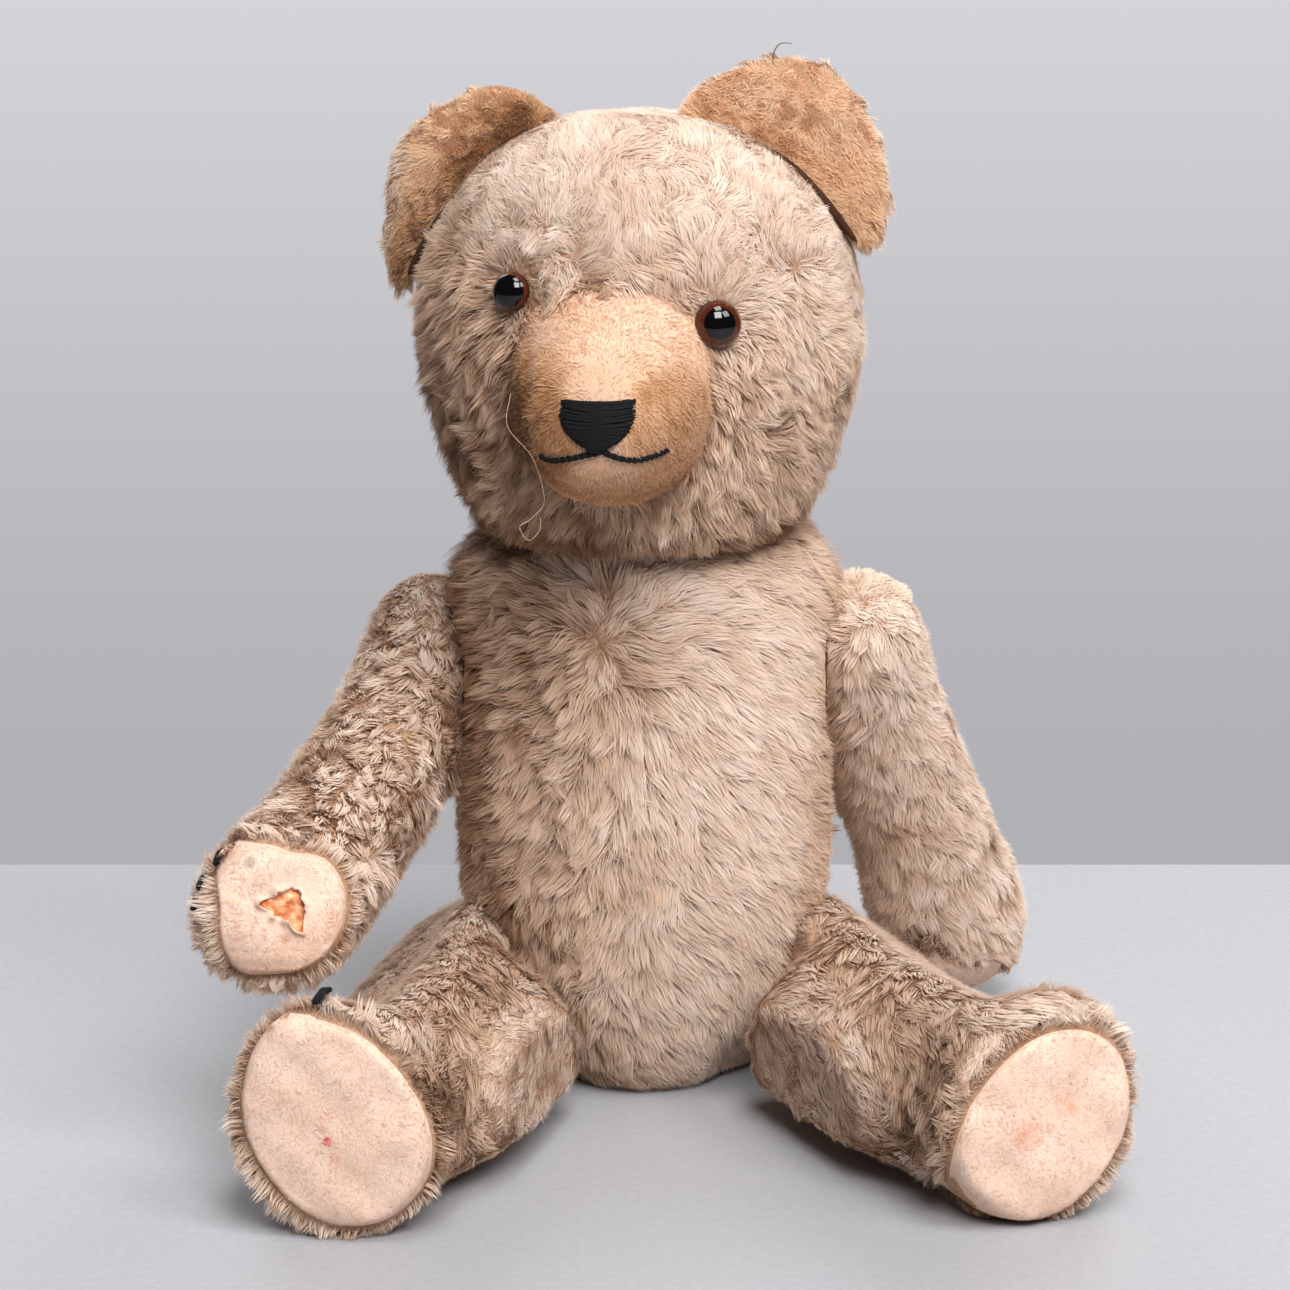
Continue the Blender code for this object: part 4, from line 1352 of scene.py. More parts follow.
def makeMuzzle():
    # rows run from the tip to the outline
    turn = lap(muzzleSet["columns"])
    share = np.linspace(0.02, 1, muzzleSet["rows"])[:, None]
    reach = 1 / muzzleShare(polar(1, turn))
    flat = polar(share * reach, turn) + muzzleSet["middle"]
    spread = flat.reshape(-1, 2)
    face = castOnHead(formTrees["head"], spread).reshape(share.shape[0], -1)
    ball = castOnHead(treeOf(frame["nodes"]["muzzle"]), spread).reshape(face.shape)
    depth = np.minimum(ball, face - 1.0 * (1 - share**6))
    depth[-1] = face[-1] + 1.2
    for _ in range(muzzleSet["smoothing"]):
        before, after = np.roll(depth, 1, axis=1), np.roll(depth, -1, axis=1)
        inner = (depth[:-2] + depth[2:] + before[1:-1] + after[1:-1]) / 4
        depth[1:-1] = 0.4 * depth[1:-1] + 0.6 * inner
        depth[0] = depth[1].mean()
    front = np.stack((flat[..., 0], depth, flat[..., 1]), axis=-1)
    behind = front[::-1] + np.array((0, 1.6, 0))
    points = onHead(np.concatenate((front, behind)))
    made = faceOut(gridMesh("muzzle_plush", points, plushCloth, True, (True, True)))
    layUv(made.data, "shade", np.stack(muzzleWearAndShade(pointsOf(made.data)), axis=-1))
    return made


muzzle = makeMuzzle()
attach(muzzle, "head")
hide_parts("muzzle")
muzzleTree = treeOf(muzzle)

# The coats. Each field takes roots and the way they face, and gives for the hairs: wish, the way each
# is combed; reach, its length; lift and droop, its angle to the cloth; curl and turns of its corkscrew;
# tight, how much it joins its lock; tuft, how much it is cut back and given painted shade at its lock's
# border;
# shade, from soiled to bleached, with painted light and shade laid in; cover, the share of hairs that is left


def headField(points, facing):
    # hairs rise over the crown and fall down the face, part round the eyes and the ears' seams, and are
    # curlier low down and on the bear's right; there they are darker, partly where curly and partly with
    # painted shade, and a painted shadow lies along the ears' seams
    own = ownOfHead(points)
    x, y, z = own.T
    crown = ease(58, 80, z + 0.12 * x + 5 * ripple(points, 0.03, 11)) * ease(40, 10, y)
    rising = unit(own - np.array((6, -30, 50)))
    falling = unit(np.stack((x / 90, 0.15 + y * 0, -1 + x * 0), axis=-1))
    wish = (rising * crown[:, None] + falling * (1 - crown)[:, None]) @ headTurn
    wish = wish + 0.35 * stir(points, 0.035, 21) + 0.35 * stir(points, 0.013, 31)
    near = np.ones(len(points))
    for eye in eyeSet.values():
        off = own - np.array(eye["at"])
        far = np.linalg.norm(off, axis=1)
        close = ease(15, 8, far)[:, None]
        wish = wish * (1 - close) + unit(off) @ headTurn * close
        near = np.minimum(near, ease(eye["size"] * 0.85, 12, far))
    sewn = np.zeros(len(points))
    for side in earShapes:
        gap = gapToBase(side, own)
        close = ease(15, 5, gap) * ease(4, -4, y)
        middle = np.mean(earShapes[side]["base"], axis=0) + np.array((0, 6, 12))
        wish = wish * (1 - close)[:, None] + unit(own - middle) @ headTurn * close[:, None]
        sewn = np.maximum(sewn, ease(9, 3, gap))
    dark = ease(15, -30, x)
    curly = (1 - crown) * (0.7 + 0.3 * dark) * (1 - sewn)
    beside = ease(0.008, 0.001, gapTo(bare["head"], points))
    seam = np.minimum(gapToBase("left", own), gapToBase("right", own))
    # darker where curly, and painted shade on the bear's right and low on the head, away from the lamps
    darkAndShaded = 0.26 * curly + 0.07 * dark * (1 - crown) + 0.14 * ease(62, 20, z) + 0.16 * ease(-28, -48, x)
    covered = (muzzleShare(own[:, [0, 2]] - muzzleSet["middle"]) < 0.88) & (y < -20)
    return {
        "wish": wish,
        "reach": (6.0 + 2.6 * curly) * (0.45 + 0.55 * near) * (1 - 0.5 * sewn) * mm,
        "lift": np.radians(20 + 34 * curly - 8 * sewn + 16 * beside),
        "droop": np.radians(4 + 14 * curly + 16 * beside),
        "curl": (0.35 + 1.15 * curly) * mm,
        "turns": 0.7 + 0.6 * curly,
        "tight": 0.7 + 0.22 * curly,
        "tuft": 0.2 + 0.8 * curly,
        # painted shadow darkens the hair along the ears' seams
        "shade": 0.8 - darkAndShaded + 0.06 * ripple(points, 0.03, 41) - 0.3 * ease(4, 1, seam),
        "cover": (near > 0) * ~covered * ease(0.8, 2.2, seam),
    }


whorl = np.array((-0.013, -0.047, 0.13))  # hairs of the chest part here
patch = (-0.036, 0.125)  # x and z of a darker patch of the chest, partly dirt and partly painted shadow


def torsoField(points, facing):
    # hairs part from the whorl and fall from there; towards the bear's left the front is combed flat, and at
    # the shoulders they stand outwards
    off = points - whorl
    far = np.linalg.norm(off[:, [0, 2]], axis=1)
    front = ease(0.012, -0.012, points[:, 1])
    away = unit(off * np.array((1, 0, 1)))
    down = np.array((0.0, 0.0, -1.0))
    fall = ease(0.008, 0.06, far)[:, None]
    lit = ease(-0.026, 0.008, points[:, 0]) * front
    combed = np.array((0.75, 0, 0)) * (lit * fall[:, 0])[:, None]
    wish = away * (1.1 - 0.6 * fall) + down * (0.15 + 0.7 * fall) + combed
    wish = wish * front[:, None] + down * (1 - front)[:, None]
    rough = 1 - lit * 0.8
    wish = unit(wish) + (0.12 + 0.3 * rough)[:, None] * stir(points, 0.03, 51)
    wish = wish + (0.14 + 0.22 * rough)[:, None] * stir(points, 0.012, 61)
    wish = wish + 0.7 * leanToJoints("torso", points)
    low = ease(0.05, 0.015, points[:, 2])
    chest = ease(0.03, 0.01, np.hypot(points[:, 0] - patch[0], (points[:, 2] - patch[1]) * 0.8)) * front
    corner = ease(0.03, 0.046, np.abs(points[:, 0])) * ease(0.122, 0.138, points[:, 2])
    wish = wish + (corner * np.sign(points[:, 0]))[:, None] * np.array((1.6, 0, 0))
    wish = wish + corner[:, None] * down * 0.5
    neck = ease(0.147, 0.153, points[:, 2])
    length = 9.5 + 3.5 * corner - 4.5 * neck - 1.2 * rough - 2.0 * low
    return {
        "wish": wish,
        "reach": length * (0.5 + 0.5 * ease(0.0, 0.012, far)) * mm,
        "lift": np.radians(20 + 22 * rough + 14 * corner),
        "droop": np.radians(2 + 9 * rough),
        "curl": (0.35 + 0.6 * rough) * mm,
        "turns": 0.6 + 0.5 * rough,
        "tight": 0.72 + 0.16 * rough,
        "tuft": 0.1 + 0.8 * rough,
        # lighter on the lit side towards the bear's left as painted light, a little darker low down, and
        # darker in the chest patch, partly dirt and partly painted shadow
        "shade": 0.58 + 0.2 * lit - 0.06 * low + 0.05 * ripple(points, 0.04, 71) - 0.3 * chest,
        "cover": 1.0,
    }


def limbAxis(pad, limb):
    # from a limb's joint to its pad
    low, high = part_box(pad)
    return unit((np.array(low) + np.array(high)) / 2 - planes[limb][0])


def awayFromPad(body, points, wish, hairs):
    # around a felt pad hairs turn away from it, and are shorter
    pad = pads[body]
    outward = unit(across(points - pad["middle"], pad["facing"]))
    near = ease(0.007, 0.001, gapTo(felts[body], points))
    hairs["wish"] = unit(wish) * (1 - near)[:, None] + outward * near[:, None]
    hairs["reach"] = hairs["reach"] * (1 - 0.28 * near)
    hairs["lift"] = hairs["lift"] * (1 - near) + math.radians(58) * near
    hairs["droop"] = hairs["droop"] * (1 - near) + math.radians(40) * near
    above = landOn(felts[body], points - 0.001 * pad["facing"], np.broadcast_to(pad["facing"], points.shape))
    reach = np.linalg.norm(above - points, axis=1)
    hairs["cover"] = hairs["cover"] * ~(reach < 0.006)
    return hairs


def armField(side):
    # hairs lie along the arm to the paw; the right arm is curly with bald patches, the left nearly smooth
    body = f"arm_{side}"
    axis = limbAxis(f"paw_pad_{side}", body)
    curly = 1.0 if side == "right" else 0.4

    def field(points, facing):
        bald = ease(0.5, 1.1, ripple(points, 0.026, 81)) * curly
        sway = 0.25 + 0.3 * curly
        wish = axis + sway * stir(points, 0.03, 91) + sway * stir(points, 0.011, 101)
        wish = wish + leanToJoints(body, points)
        place, out = planes[body]
        crest = ease(0.008, 0.02, points[:, 2] - place[2]) * ease(0.04, 0.015, (points - place) @ out)
        hairs = {
            "reach": (9.0 - 2.0 * curly) * (1 - 0.35 * bald) * (1 - 0.4 * crest) * mm,
            "lift": np.radians((26 + 22 * curly) * (1 - 0.6 * crest)),
            "droop": np.radians(5 + 9 * curly),
            "curl": (0.7 + 0.6 * curly) * mm,
            "turns": 0.9 + 0.35 * curly,
            "tight": 0.82 + 0.08 * curly,
            "tuft": 0.8,
            "shade": 0.79 + 0.06 * ripple(points, 0.03, 111),
            "cover": 1 - 0.5 * bald,
        }
        return awayFromPad(body, points, wish, hairs)

    return field


def legField(side):
    # hairs lie along the leg to the foot, smooth on top, curly on the sides, and flat where the other leg
    # hangs beside them
    body = f"leg_{side}"
    axis = limbAxis(f"foot_pad_{side}", body)

    def field(points, facing):
        top = ease(0.0, 0.65, facing[:, 2])
        under = ease(-0.2, -0.8, facing[:, 2])
        curly = 1 - top
        pressed = ease(0.008, 0.003, hangingGap(body, points))
        sway = (0.2 + 0.3 * curly)[:, None]
        wish = axis + sway * stir(points, 0.035, 121)
        wish = wish + sway * stir(points, 0.012, 131) + 0.8 * leanToJoints(body, points)
        wish = wish + np.array((0, 0, -0.6)) * curly[:, None]
        hairs = {
            "reach": (8.5 - 1.0 * curly - 2.5 * under) * (1 - 0.3 * pressed) * mm,
            "lift": np.radians((20 + 26 * curly - 20 * under) * (1 - 0.8 * pressed)),
            "droop": np.radians((3 + 11 * curly - 8 * under) * (1 - 0.8 * pressed)),
            "curl": (0.4 + 0.7 * curly) * mm,
            "turns": 0.7 + 0.5 * curly,
            "tight": 0.75 + 0.15 * curly,
            "tuft": 0.3 + 0.6 * curly,
            # painted light: hairs on the tops, facing up, are lighter
            "shade": 0.77 + 0.06 * top + 0.06 * ripple(points, 0.03, 141),
            "cover": 1.0,
        }
        return awayFromPad(body, points, wish, hairs)

    return field


coatSet = {"slot": "mohair", "joints": 2, "sway": 0.3, "thin": 0.4, "perLock": 24, "width": 0.0005}
coats = {
    "head": {"field": headField, "count": 82000, "frizz": 80000, "width": 0.00046, "seed": 1},
    "torso": {"field": torsoField, "count": 80000, "frizz": 76000, "perLock": 26, "seed": 2},
    "arm_left": {"field": armField("left"), "count": 32000, "frizz": 32000, "seed": 3},
    "arm_right": {"field": armField("right"), "count": 33000, "frizz": 32000, "perLock": 22, "seed": 4},
    "leg_left": {"field": legField("left"), "count": 40000, "frizz": 42000, "seed": 5},
    "leg_right": {"field": legField("right"), "count": 40000, "frizz": 42000, "seed": 6},
}


def frizzed(field):
    # loose single hairs over a coat: straighter, higher and hardly drawn into locks
    def made(points, facing):
        hairs = field(points, facing)
        hairs["lift"] = hairs["lift"] * 0.75 + 0.1
        hairs["droop"] = hairs["lift"]
        hairs["reach"] = hairs["reach"] * 0.82
        hairs["tight"] = hairs["tight"] * 0.45
        hairs["shade"] = hairs["shade"] + 0.05
        hairs["tuft"] = hairs["tuft"] * 0.5
        return hairs

    return made


frizzSet = {"joints": 1, "width": 0.00028, "stray": 0.35}
bare = {"head": treeOf(frame["nodes"]["muzzle"]), **felts}
for body in coats:
    coat = {**coatSet, **coats[body]}
    avoid = [(bare[body], 0.0005)] if body in bare else []
    if body == "arm_right":
        avoid.append((oldFelt, 0.002))
    growPile(f"{body}_pile", body, forms[body], coat, mohair, avoid)
    frizz = {**coat, **frizzSet, "field": frizzed(coat["field"]), "count": coat["frizz"]}
    frizz["seed"] += 20
    growPile(f"{body}_frizz", body, forms[body], frizz, mohair, avoid)

# Fuzz of the muzzle


def plushField(wearAndShade, reach, comb, lift):
    # short straight hairs over worn plush, toned by its wear and painted shade
    def field(points, facing):
        cleanAndLit, gone = wearAndShade(points)
        return {
            "wish": comb(points) + 0.7 * stir(points, 0.006, 161),
            "reach": reach * (1 - 0.15 * ripple(points, 0.01, 171)),
            "lift": np.radians(lift),
            "droop": np.radians(lift * 0.4),
            "curl": 0.0,
            "turns": 0.0,
            "tight": 0.3,
            "shade": cleanAndLit,
            "cover": 1 - 0.95 * gone,
        }

    return field


def muzzleComb(points):
    return unit(ownOfHead(points) - np.array((2, -100, 50))) @ headTurn + np.array((0, 0, -0.3))


fuzz = {
    "field": plushField(muzzleWearAndShade, muzzleSet["hair"], muzzleComb, 42),
    "count": muzzleSet["fuzz"],
    "perLock": 5,
    "joints": 1,
    "width": muzzleSet["width"],
    "seed": muzzleSet["seed"],
    "slot": "tan_plush",
}


def outsideOnly(grow, test):
    # the same field, with no hairs where the test says no
    inner = grow["field"]

    def field(points, facing):
        made = inner(points, facing)
        made["cover"] = made["cover"] * test(points, facing)
        return made

    return dict(grow, field=field)


def muzzleOutside(points, facing):
    return (facing @ headTurn.T)[:, 1] < 0.25


growPile("muzzle_fuzz", "head", muzzle, outsideOnly(fuzz, muzzleOutside), plush)

# Ears: a plush lining before a mohair back, each a sheet between its base on the head and its rim

earSet = {"rows": 24, "columns": 120, "thick": 1.3, "overhang": 3.4, "puff": 2.2}
earSet.update({"fuzz": 32000, "pile": 11000, "wrapped": 5000})


def earOutline(side):
    # a smooth closed line through the base and the rim, in the head's own mm
    points = np.array(earShapes[side]["base"] + earShapes[side]["rim"], float)
    laps = np.vstack((points, points, points[:1]))
    count = earSet["columns"]
    return curveThrough(laps, 2 * count + 1)[count // 2 : count // 2 + count]


def earToneAndShadeOf(side):
    def wearAndShade(points):
        own = ownOfHead(points)
        # painted shade: the lining darkens towards its base, where it meets the head
        deep = ease(16, 3, gapToBase(side, own)) * earShapes[side]["deep"]
        cleanAndLit = earShapes[side]["freshAndLit"] - deep
        cleanAndLit = cleanAndLit + 0.05 * ripple(points, 0.02, 181) + 0.06 * ripple(points, 0.004, 182)
        return np.clip(cleanAndLit, 0.02, 0.97), np.zeros(len(points))

    return wearAndShade


def earFold(points):
    # 1 on the outer part of the right ear, whose mohair back is folded round to the front
    x, _, z = ownOfHead(points).T
    return ease(-1.5, 3.5, -x - 61 - (112 - z) * 0.2 + 1.5 * ripple(points, 0.012, 183))


def earSheet(side, swell):
    # share runs from the heart to the outline: a dish whose edge rolls back and whose foot bulges forward
    shape = earShapes[side]
    loop = earOutline(side)
    heart = np.array(shape["heart"], float)
    share = np.linspace(0.02, 1, earSet["rows"])[:, None]
    flat = heart + (loop - heart) * share[..., None] * swell
    depth = heart[1] + (loop[:, 1] - heart[1]) * share**2
    foot = np.exp(-((gapToBase(side, flat.reshape(-1, 3)).reshape(depth.shape) / 6.5) ** 2))
    depth = depth - earSet["overhang"] * foot * (1 - 0.6 * share**12) + 1.3 * share**8
    depth = depth - earSet["puff"] * np.sqrt(1 - share**2)
    depth = depth + shape["dents"] * ripple(flat * mm, 0.024, shape["seed"] + 5) * (1 - share**4)
    return np.stack((flat[..., 0], depth, flat[..., 2]), axis=-1), share


def makeEar(side):
    # the lining's sheet and the back's just outside it, then their hairs
    shape = earShapes[side]
    seed = shape["seed"]
    earToneAndShade = earToneAndShadeOf(side)
    front, _ = earSheet(side, 1.0)
    behind = front[::-1] + np.array((0, earSet["thick"], 0))
    lining = np.concatenate((front, behind))
    outer, share = earSheet(side, 1.015)
    near = outer + np.array((0, earSet["thick"] + 0.3, 0))
    crown = np.stack((0 * share, 1.2 + 2.0 * (1 - share**4), 0 * share), axis=-1)
    back = np.concatenate((near, (near + crown)[::-1]))
    pieces = []
    sheets = (lining, plushCloth, "tan_plush", "lining"), (back, backing, "mohair", "back")
    for points, finish, slot, node in sheets:
        piece = faceOut(gridMesh(f"ear_{side}_{node}_cloth", onHead(points), finish, True, (True, True)))
        if node == "lining":
            layUv(piece.data, "shade", np.stack(earToneAndShade(pointsOf(piece.data)), axis=-1))
        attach(piece, "head")
        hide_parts(f"ear_{side}_{node}")
        pieces.append(piece)
    heart = onHead(np.array(shape["heart"], float))

    def radial(points):
        return unit(across(points - heart, headFront))

    def combed(points):
        return 0.7 * radial(points) + np.array((0, 0, -0.55))

    fuzz = {
        "field": plushField(earToneAndShade, 0.0023, combed, 74),
        "count": earSet["fuzz"],
        "perLock": 4,
        "joints": 1,
        "stray": 0.4,
        "width": 0.00026,
        "seed": seed,
        "slot": "tan_plush",
    }

    def isFront(points, facing):
        return (facing @ headFront > -0.15) * (1 - (earFold(points) * 0.8 if side == "right" else 0))

    growPile(f"ear_{side}_fuzz", "head", pieces[0], outsideOnly(fuzz, isFront), earPlush)

    def fringeField(points, facing):
        rim = ease(0.5, 0.9, (facing * radial(points)).sum(axis=1))
        bald = ease(0.2, 0.9, ripple(points, 0.016, seed + 8))
        wish = (0.5 + 0.9 * rim)[:, None] * radial(points) + np.array((0, 0, -0.7))
        return {
            "wish": wish + 0.6 * stir(points, 0.012, seed + 7),
            "reach": 5.0 * mm,
            "lift": np.radians(34 + 14 * rim),
            "droop": np.radians(10),
            "curl": 0.9 * mm,
            "turns": 1.1,
            "tight": 0.8,
            "shade": 0.66 + 0.06 * ripple(points, 0.02, seed + 9),
            "cover": (facing @ headFront < 0.3) * (1 - 0.55 * bald),
        }

    def foldField(points, facing):
        made = fringeField(points, facing)
        made["cover"] = earFold(points) * (facing @ headFront > -0.2)
        made["reach"] = made["reach"] * 0.95
        return made

    grow = {"field": fringeField, "count": earSet["pile"], "perLock": 22, "joints": 2}
    grow.update({"width": 0.00045, "seed": seed + 1, "slot": "mohair"})
    growPile(f"ear_{side}_pile", "head", pieces[1], grow, mohair)
    if side == "right":
        wrapped = dict(grow, field=foldField, count=earSet["wrapped"], seed=seed + 2)
        growPile(f"ear_{side}_wrap", "head", pieces[0], wrapped, mohair)


earShadowSet = {"left": (4, 58), "right": (6, 56), "off": (0, -3.6, 0.6)}
earShadowSet.update({"radius": 0.0017, "end": 0.12, "sides": 8})


def makeEarShadow(side):
    # a dark tube of painted shadow along an ear's seam, under its front edge, thinning to both ends
    first, last = earShadowSet[side]
    line = curveThrough(earShapes[side]["base"], 60)[first:last] + earShadowSet["off"]
    end = earShadowSet["end"]
    wide = np.sin(np.linspace(end, math.pi - end, len(line))) ** 0.6 * earShadowSet["radius"]
    seam = tubes(f"ear_{side}_seam", [onHead(line)], wide, earShadowSet["sides"], earShadowFinish)
    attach(seam, "head")


for side in earShapes:
    makeEar(side)
for side in earShapes:
    makeEarShadow(side)
print("ears made")

# Eyes: a domed glass lens, with an iris and a pupil drawn on it


glassLook = {"Roughness": 0.1, "Specular IOR Level": 0.1, "Coat Weight": 0.75, "Coat Roughness": 0.02}


def eyeFinish(name, pupil):
    # the iris is drawn on the lens in its own round map: u runs round it and v from the middle out
    glass = Finish(name, glassLook)
    uv = glass.mapped("shade")
    out = glass.split(uv, "Y")[0]
    iris = glass.mix(glass.streaks(uv, (40, 1.5, 1), 3), paint(34, 13, 8), paint(104, 46, 24))
    black, white, rim = (0, 0, 0, 1), (1, 1, 1, 1), (0.12, 0.12, 0.12, 1)
    ring = glass.ramp(out, (pupil, black), (min(pupil + 0.05, 0.93), white), (0.94, white), (1.0, rim))
    glass.wire("Base Color", glass.mix(ring, paint(5, 5, 7), iris))
    return glass.material


lensSet = {"rows": 22, "columns": 48, "height": 0.74, "tip": 0.22, "out": 0.26}


def makeEye(side):
    # rows run from the front of the dome over its rim and behind it
    eye = eyeSet[side]
    way = unit(np.array((math.copysign(lensSet["out"], eye["at"][0]) + 0.05, -1, lensSet["tip"])))
    sideways = unit(np.cross(way, up))
    rise = np.cross(sideways, way)
    turn = lap(lensSet["columns"])[None, :, None]
    out = np.concatenate(((0.008,), np.linspace(0, 1, lensSet["rows"])[1:]))
    dome = np.cos(out * math.pi / 2) * eye["size"] * lensSet["height"]
    wide = np.sin(out * math.pi / 2) * eye["size"]
    low = np.array((0.0, -1.2, -2.4))
    dome = np.concatenate((dome, low))
    wide = np.concatenate((wide, eye["size"] * np.array((0.98, 0.9, 0.6))))
    out = np.concatenate((np.sin(out * math.pi / 2), (1.0, 1.0, 1.0)))
    ring = np.cos(turn) * sideways + np.sin(turn) * rise
    points = np.array(eye["at"]) + dome[:, None, None] * way + wide[:, None, None] * ring
    uv = np.stack(np.broadcast_arrays(turn[..., 0] / (2 * math.pi), out[:, None]), axis=-1)
    finish = eyeFinish(f"eye_{side}_glass", eye["iris"])
    lens = gridMesh(f"eye_{side}_glass", onHead(points), finish, True, (True, True), uv)
    faceOut(lens)
    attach(lens, "head")
    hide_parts(f"eye_{side}")


for side in eyeSet:
    makeEye(side)
print("eyes set")

# Nose and mouth: rows of black thread over the plush

# outlines are x and z in the head's own mm
noseSet = {
    "left": [(-7.4, 48.9), (-8.0, 45.2), (-6.7, 41.6), (-3.9, 38.9), (0.4, 36.7)],
    "right": [(11.2, 49.1), (11.4, 44.8), (10.0, 41.2), (7.3, 38.7), (3.6, 36.7)],
    "heights": (49.0, 36.9),
    "top": (-7.6, 11.4, 49.2),
    "rows": 23,
    "steps": 15,
    "thread": 0.00046,
    "swell": 0.0012,
}
mouthSet = {
    "left": [(3.2, 36.4), (-0.9, 35.4), (-4.9, 34.4), (-8.9, 33.4), (-11.5, 33.3), (-13.6, 33.9)],
    "right": [(3.4, 36.4), (7.1, 34.8), (11.1, 33.8), (14.3, 33.9), (16.7, 34.4), (18.6, 35.1)],
    "ply": 0.0005,
    "steps": 60,
    "turns": 6,
    "lift": 0.0007,
}


def onMuzzle(flat, lift):
    # points given as x and z in front of the muzzle, laid on it and lifted off by lift
    return fromFront(muzzleTree, np.asarray(flat, float)) + headFront * np.asarray(lift).reshape(-1, 1)


def makeNose():
    # two layers of slightly tilted rows, and two threads along the top
    rng = np.random.default_rng(301)
    sides = (-1, np.array(noseSet["left"])), (1, np.array(noseSet["right"]))
    share = np.linspace(0, 1, noseSet["steps"])
    arch = np.sin(share * math.pi)
    rows = []
    for layer, count in ((0.35, noseSet["rows"]), (1.0, noseSet["rows"] - 1)):
        for row in np.linspace(*noseSet["heights"], count):
            tilt = rng.normal(0, 0.25)
            first, last = [np.interp(-(row + tilt * way), -side[:, 1], side[:, 0]) for way, side in sides]
            z = row + tilt * (2 * share - 1) + rng.normal(0, 0.06, noseSet["steps"]) - 0.5 * arch * layer
            lifted = 0.0002 + noseSet["swell"] * layer * arch**0.35
            rows.append(onMuzzle(np.stack((first + (last - first) * share, z), axis=-1), lifted))
    start, end, height = noseSet["top"]
    top = np.linspace(start, end, 16)
    for step in (0.2, 0.55):
        lifted = 0.0006 + 0.0009 * np.sin(np.linspace(0.1, 0.9, 16) * math.pi)
        rows.append(onMuzzle(np.stack((top, height + 0 * top - step), axis=-1), lifted))
    nose = tubes("nose_stitches", rows, noseSet["thread"], 6, blackThread)
    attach(nose, "head")
    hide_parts("nose_embroidery")


def pliedPaths(path, radius, turns):
    # two plies wound round a line
    along = unit(np.gradient(path, axis=0))
    side = unit(np.cross(along, np.array((0.0, 1.0, 0.0))))
    other = np.cross(along, side)
    phase = np.linspace(0, turns * 2 * math.pi, len(path))[:, None]
    lags = (0, math.pi)
    return [path + radius * (np.cos(phase + lag) * side + np.sin(phase + lag) * other) for lag in lags]


def makeMouth():
    paths = []
    for side in ("left", "right"):
        line = onMuzzle(curveThrough(mouthSet[side], mouthSet["steps"]), mouthSet["lift"])
        paths += pliedPaths(line, mouthSet["ply"] * 0.75, mouthSet["turns"])
    mouth = tubes("mouth_stitches", paths, mouthSet["ply"], 6, blackThread)
    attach(mouth, "head")
    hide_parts("mouth_embroidery")


makeNose()
makeMouth()
print("nose and mouth stitched")

# Claws and loose threads

clawSet = {"ply": 0.0005, "dip": 0.0007}
claws = {
    "paw_claw_right_1": {"plies": 2, "height": 3.0, "lean": (3.4, 0, 2.4), "shift": (-1.4, 0, -1.0)},
    "paw_claw_right_2": {"plies": 2, "height": 3.0, "lean": (3.0, 0, 2.8), "shift": (-1.2, 0, -1.2)},
    "paw_claw_right_3": {"plies": 2, "height": 2.8, "lean": (1.2, 0, 3.0), "shift": (0, 0, -1.2)},
    "foot_claw_right_1": {"plies": 3, "height": 3.0, "lean": (1.4, 0, 1.0), "shift": (2.4, -1.2, -2.2)},
    "foot_claw_left_1": {"plies": 1, "height": 3.0, "lean": (0, 0, 0), "shift": (2.7, -9, -5)},
}


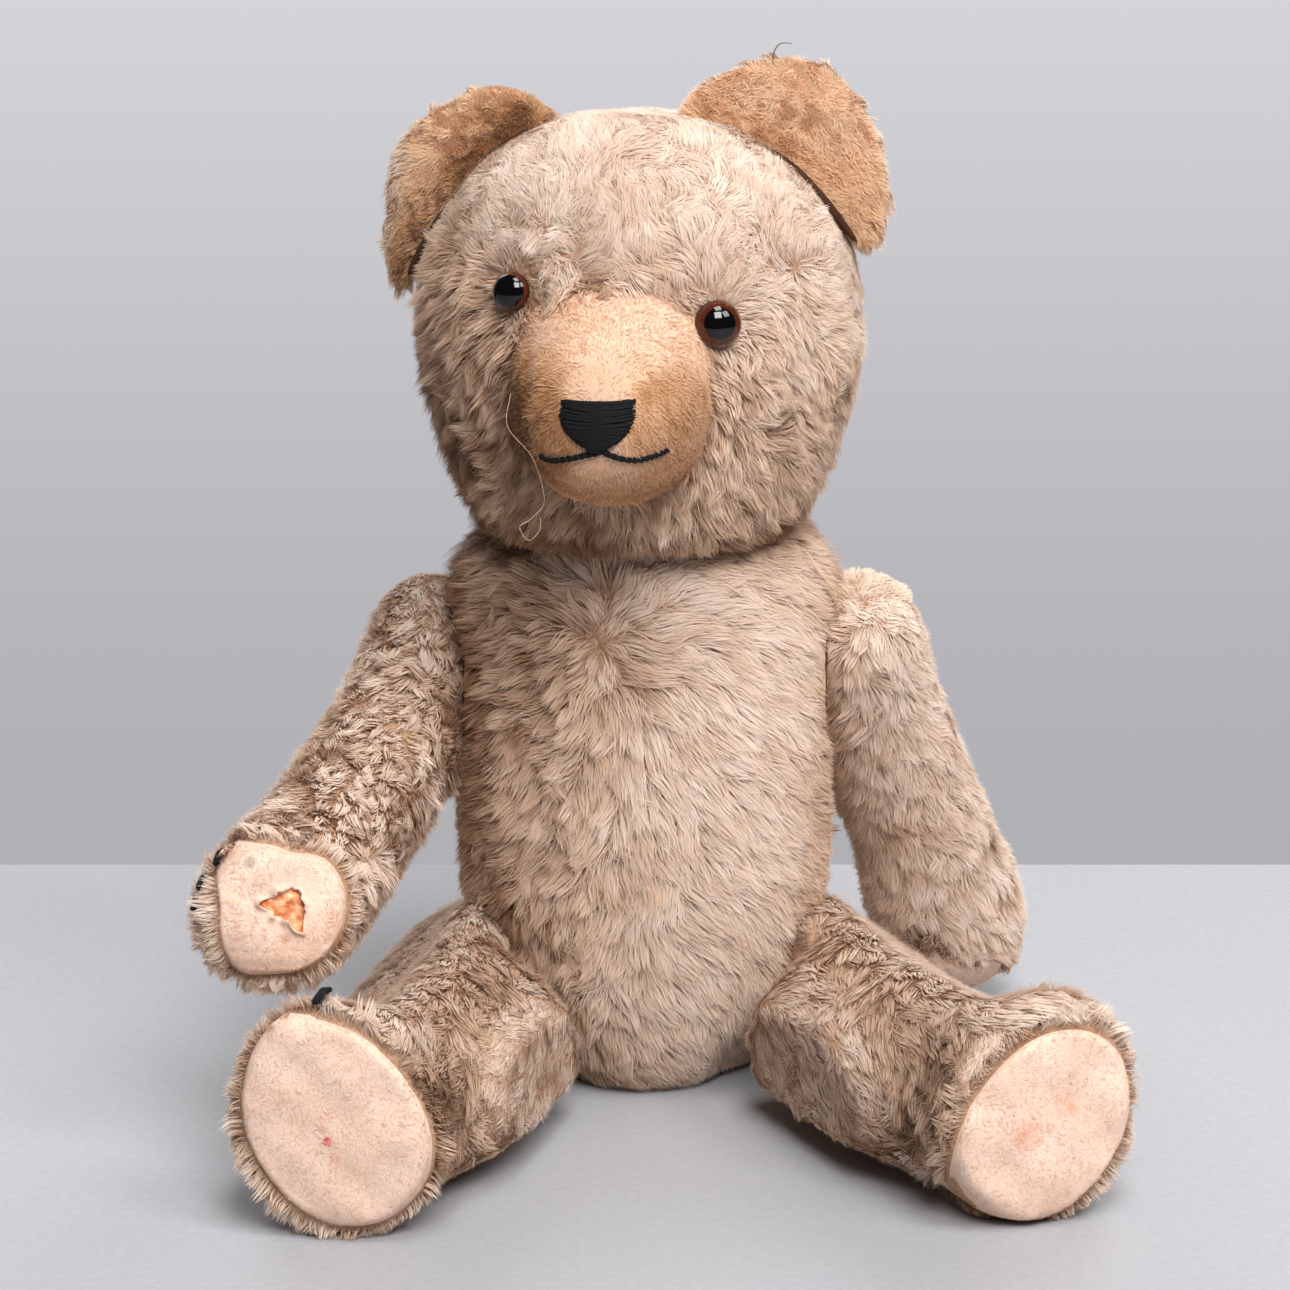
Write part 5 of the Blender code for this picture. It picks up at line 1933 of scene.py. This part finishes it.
def makeClaw(node, plies, height, lean, shift):
    # a long stitch over the pile, from the plain model's short rod; height, lean and shift are in mm
    body = node[:-2].replace("paw_claw", "arm").replace("foot_claw", "leg")
    points = arraysOf(frame["nodes"][node])[0]
    middle = points.mean(axis=0)
    axis = np.linalg.svd(points - middle)[2][0]
    axis = axis * np.sign(axis[1])
    along = (points - middle) @ axis
    middle = middle + np.array(shift) * mm
    start = middle + axis * along.min()
    ground, out, *_ = treeOf(forms[body]).find_nearest(start.tolist())
    out = np.array(out)
    start = np.array(ground) + out * height * mm
    reach = axis * np.ptp(along) + np.array(lean) * mm
    share = np.linspace(0, 1, 16)
    arch = np.clip(np.sin(share * math.pi) * 2.5, 0, 1) - 1
    path = start + reach * share[:, None] + out * (clawSet["dip"] * arch)[:, None]
    side = unit(np.cross(reach, out))
    paths = []
    for ply in range(plies):
        off = (ply - (plies - 1) / 2) * clawSet["ply"] * 1.7
        paths += pliedPaths(path + side * off, clawSet["ply"] * 0.6, 3)
    claw = tubes(f"{node}_stitch", paths, clawSet["ply"], 6, blackThread)
    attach(claw, body)
    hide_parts(node)


for node, claw in claws.items():
    makeClaw(node, **claw)

straySet = {
    "route": [
        (-0.0345, -0.082, 0.206), (-0.0352, -0.0855, 0.198), (-0.0288, -0.0865, 0.1899),
        (-0.0259, -0.0865, 0.1791), (-0.0290, -0.0875, 0.1745), (-0.0322, -0.088, 0.1722),
        (-0.0299, -0.0885, 0.1688), (-0.0272, -0.088, 0.1712), (-0.0268, -0.0875, 0.1745),
    ],
    "steps": 120,
    "radius": 0.00007,
}


def makeStray():
    # one loose fine thread by the muzzle, hanging in a loop
    path = curveThrough(straySet["route"], straySet["steps"])
    stray = tubes("stray_thread", [path], straySet["radius"], 5, paleThread)
    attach(stray, "head")


makeStray()


# loose stitches: the first and last step along the ear's base, how far one stands off and how it sways
looseSet = {"stitches": ((22, 31, 1.6, 0.4), (38, 47, 1.8, 0.9), (42, 51, 0.9, 2.2))}
looseSet.update({"curl": [(35.5, -2, 124), (35.2, -2, 127.5), (37, -2, 130.4), (40.5, -2, 130.6)]})
looseSet.update({"steps": 40, "radius": 0.00016})


def makeLooseStitches():
    # pale stitches that have worked loose along the left ear's base, and a stray curl on its rim
    base = curveThrough(earShapes["left"]["base"], 60)
    paths = []
    steps = looseSet["steps"]
    swing = np.sin(np.linspace(0, math.pi, steps))
    for first, last, rise, lag in looseSet["stitches"]:
        part = curveThrough(base[first:last:2], steps)
        wave = np.sin(np.linspace(lag, lag + 7, steps)) * 0.5
        off = np.stack((-0.6 * swing + wave, -4.6 - rise * swing, -1.9 - 0.8 * swing), axis=-1)
        paths.append(onHead(part + off))
    stitches = tubes("ear_left_loose_stitches", paths, looseSet["radius"], 5, paleThread)
    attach(stitches, "head")
    curl = onHead(curveThrough(looseSet["curl"], steps))
    fibre = tubes("ear_left_stray_curl", [curl], np.linspace(0.0003, 0.0001, steps), 5, mohairFibre)
    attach(fibre, "head")


makeLooseStitches()
print("threads sewn")
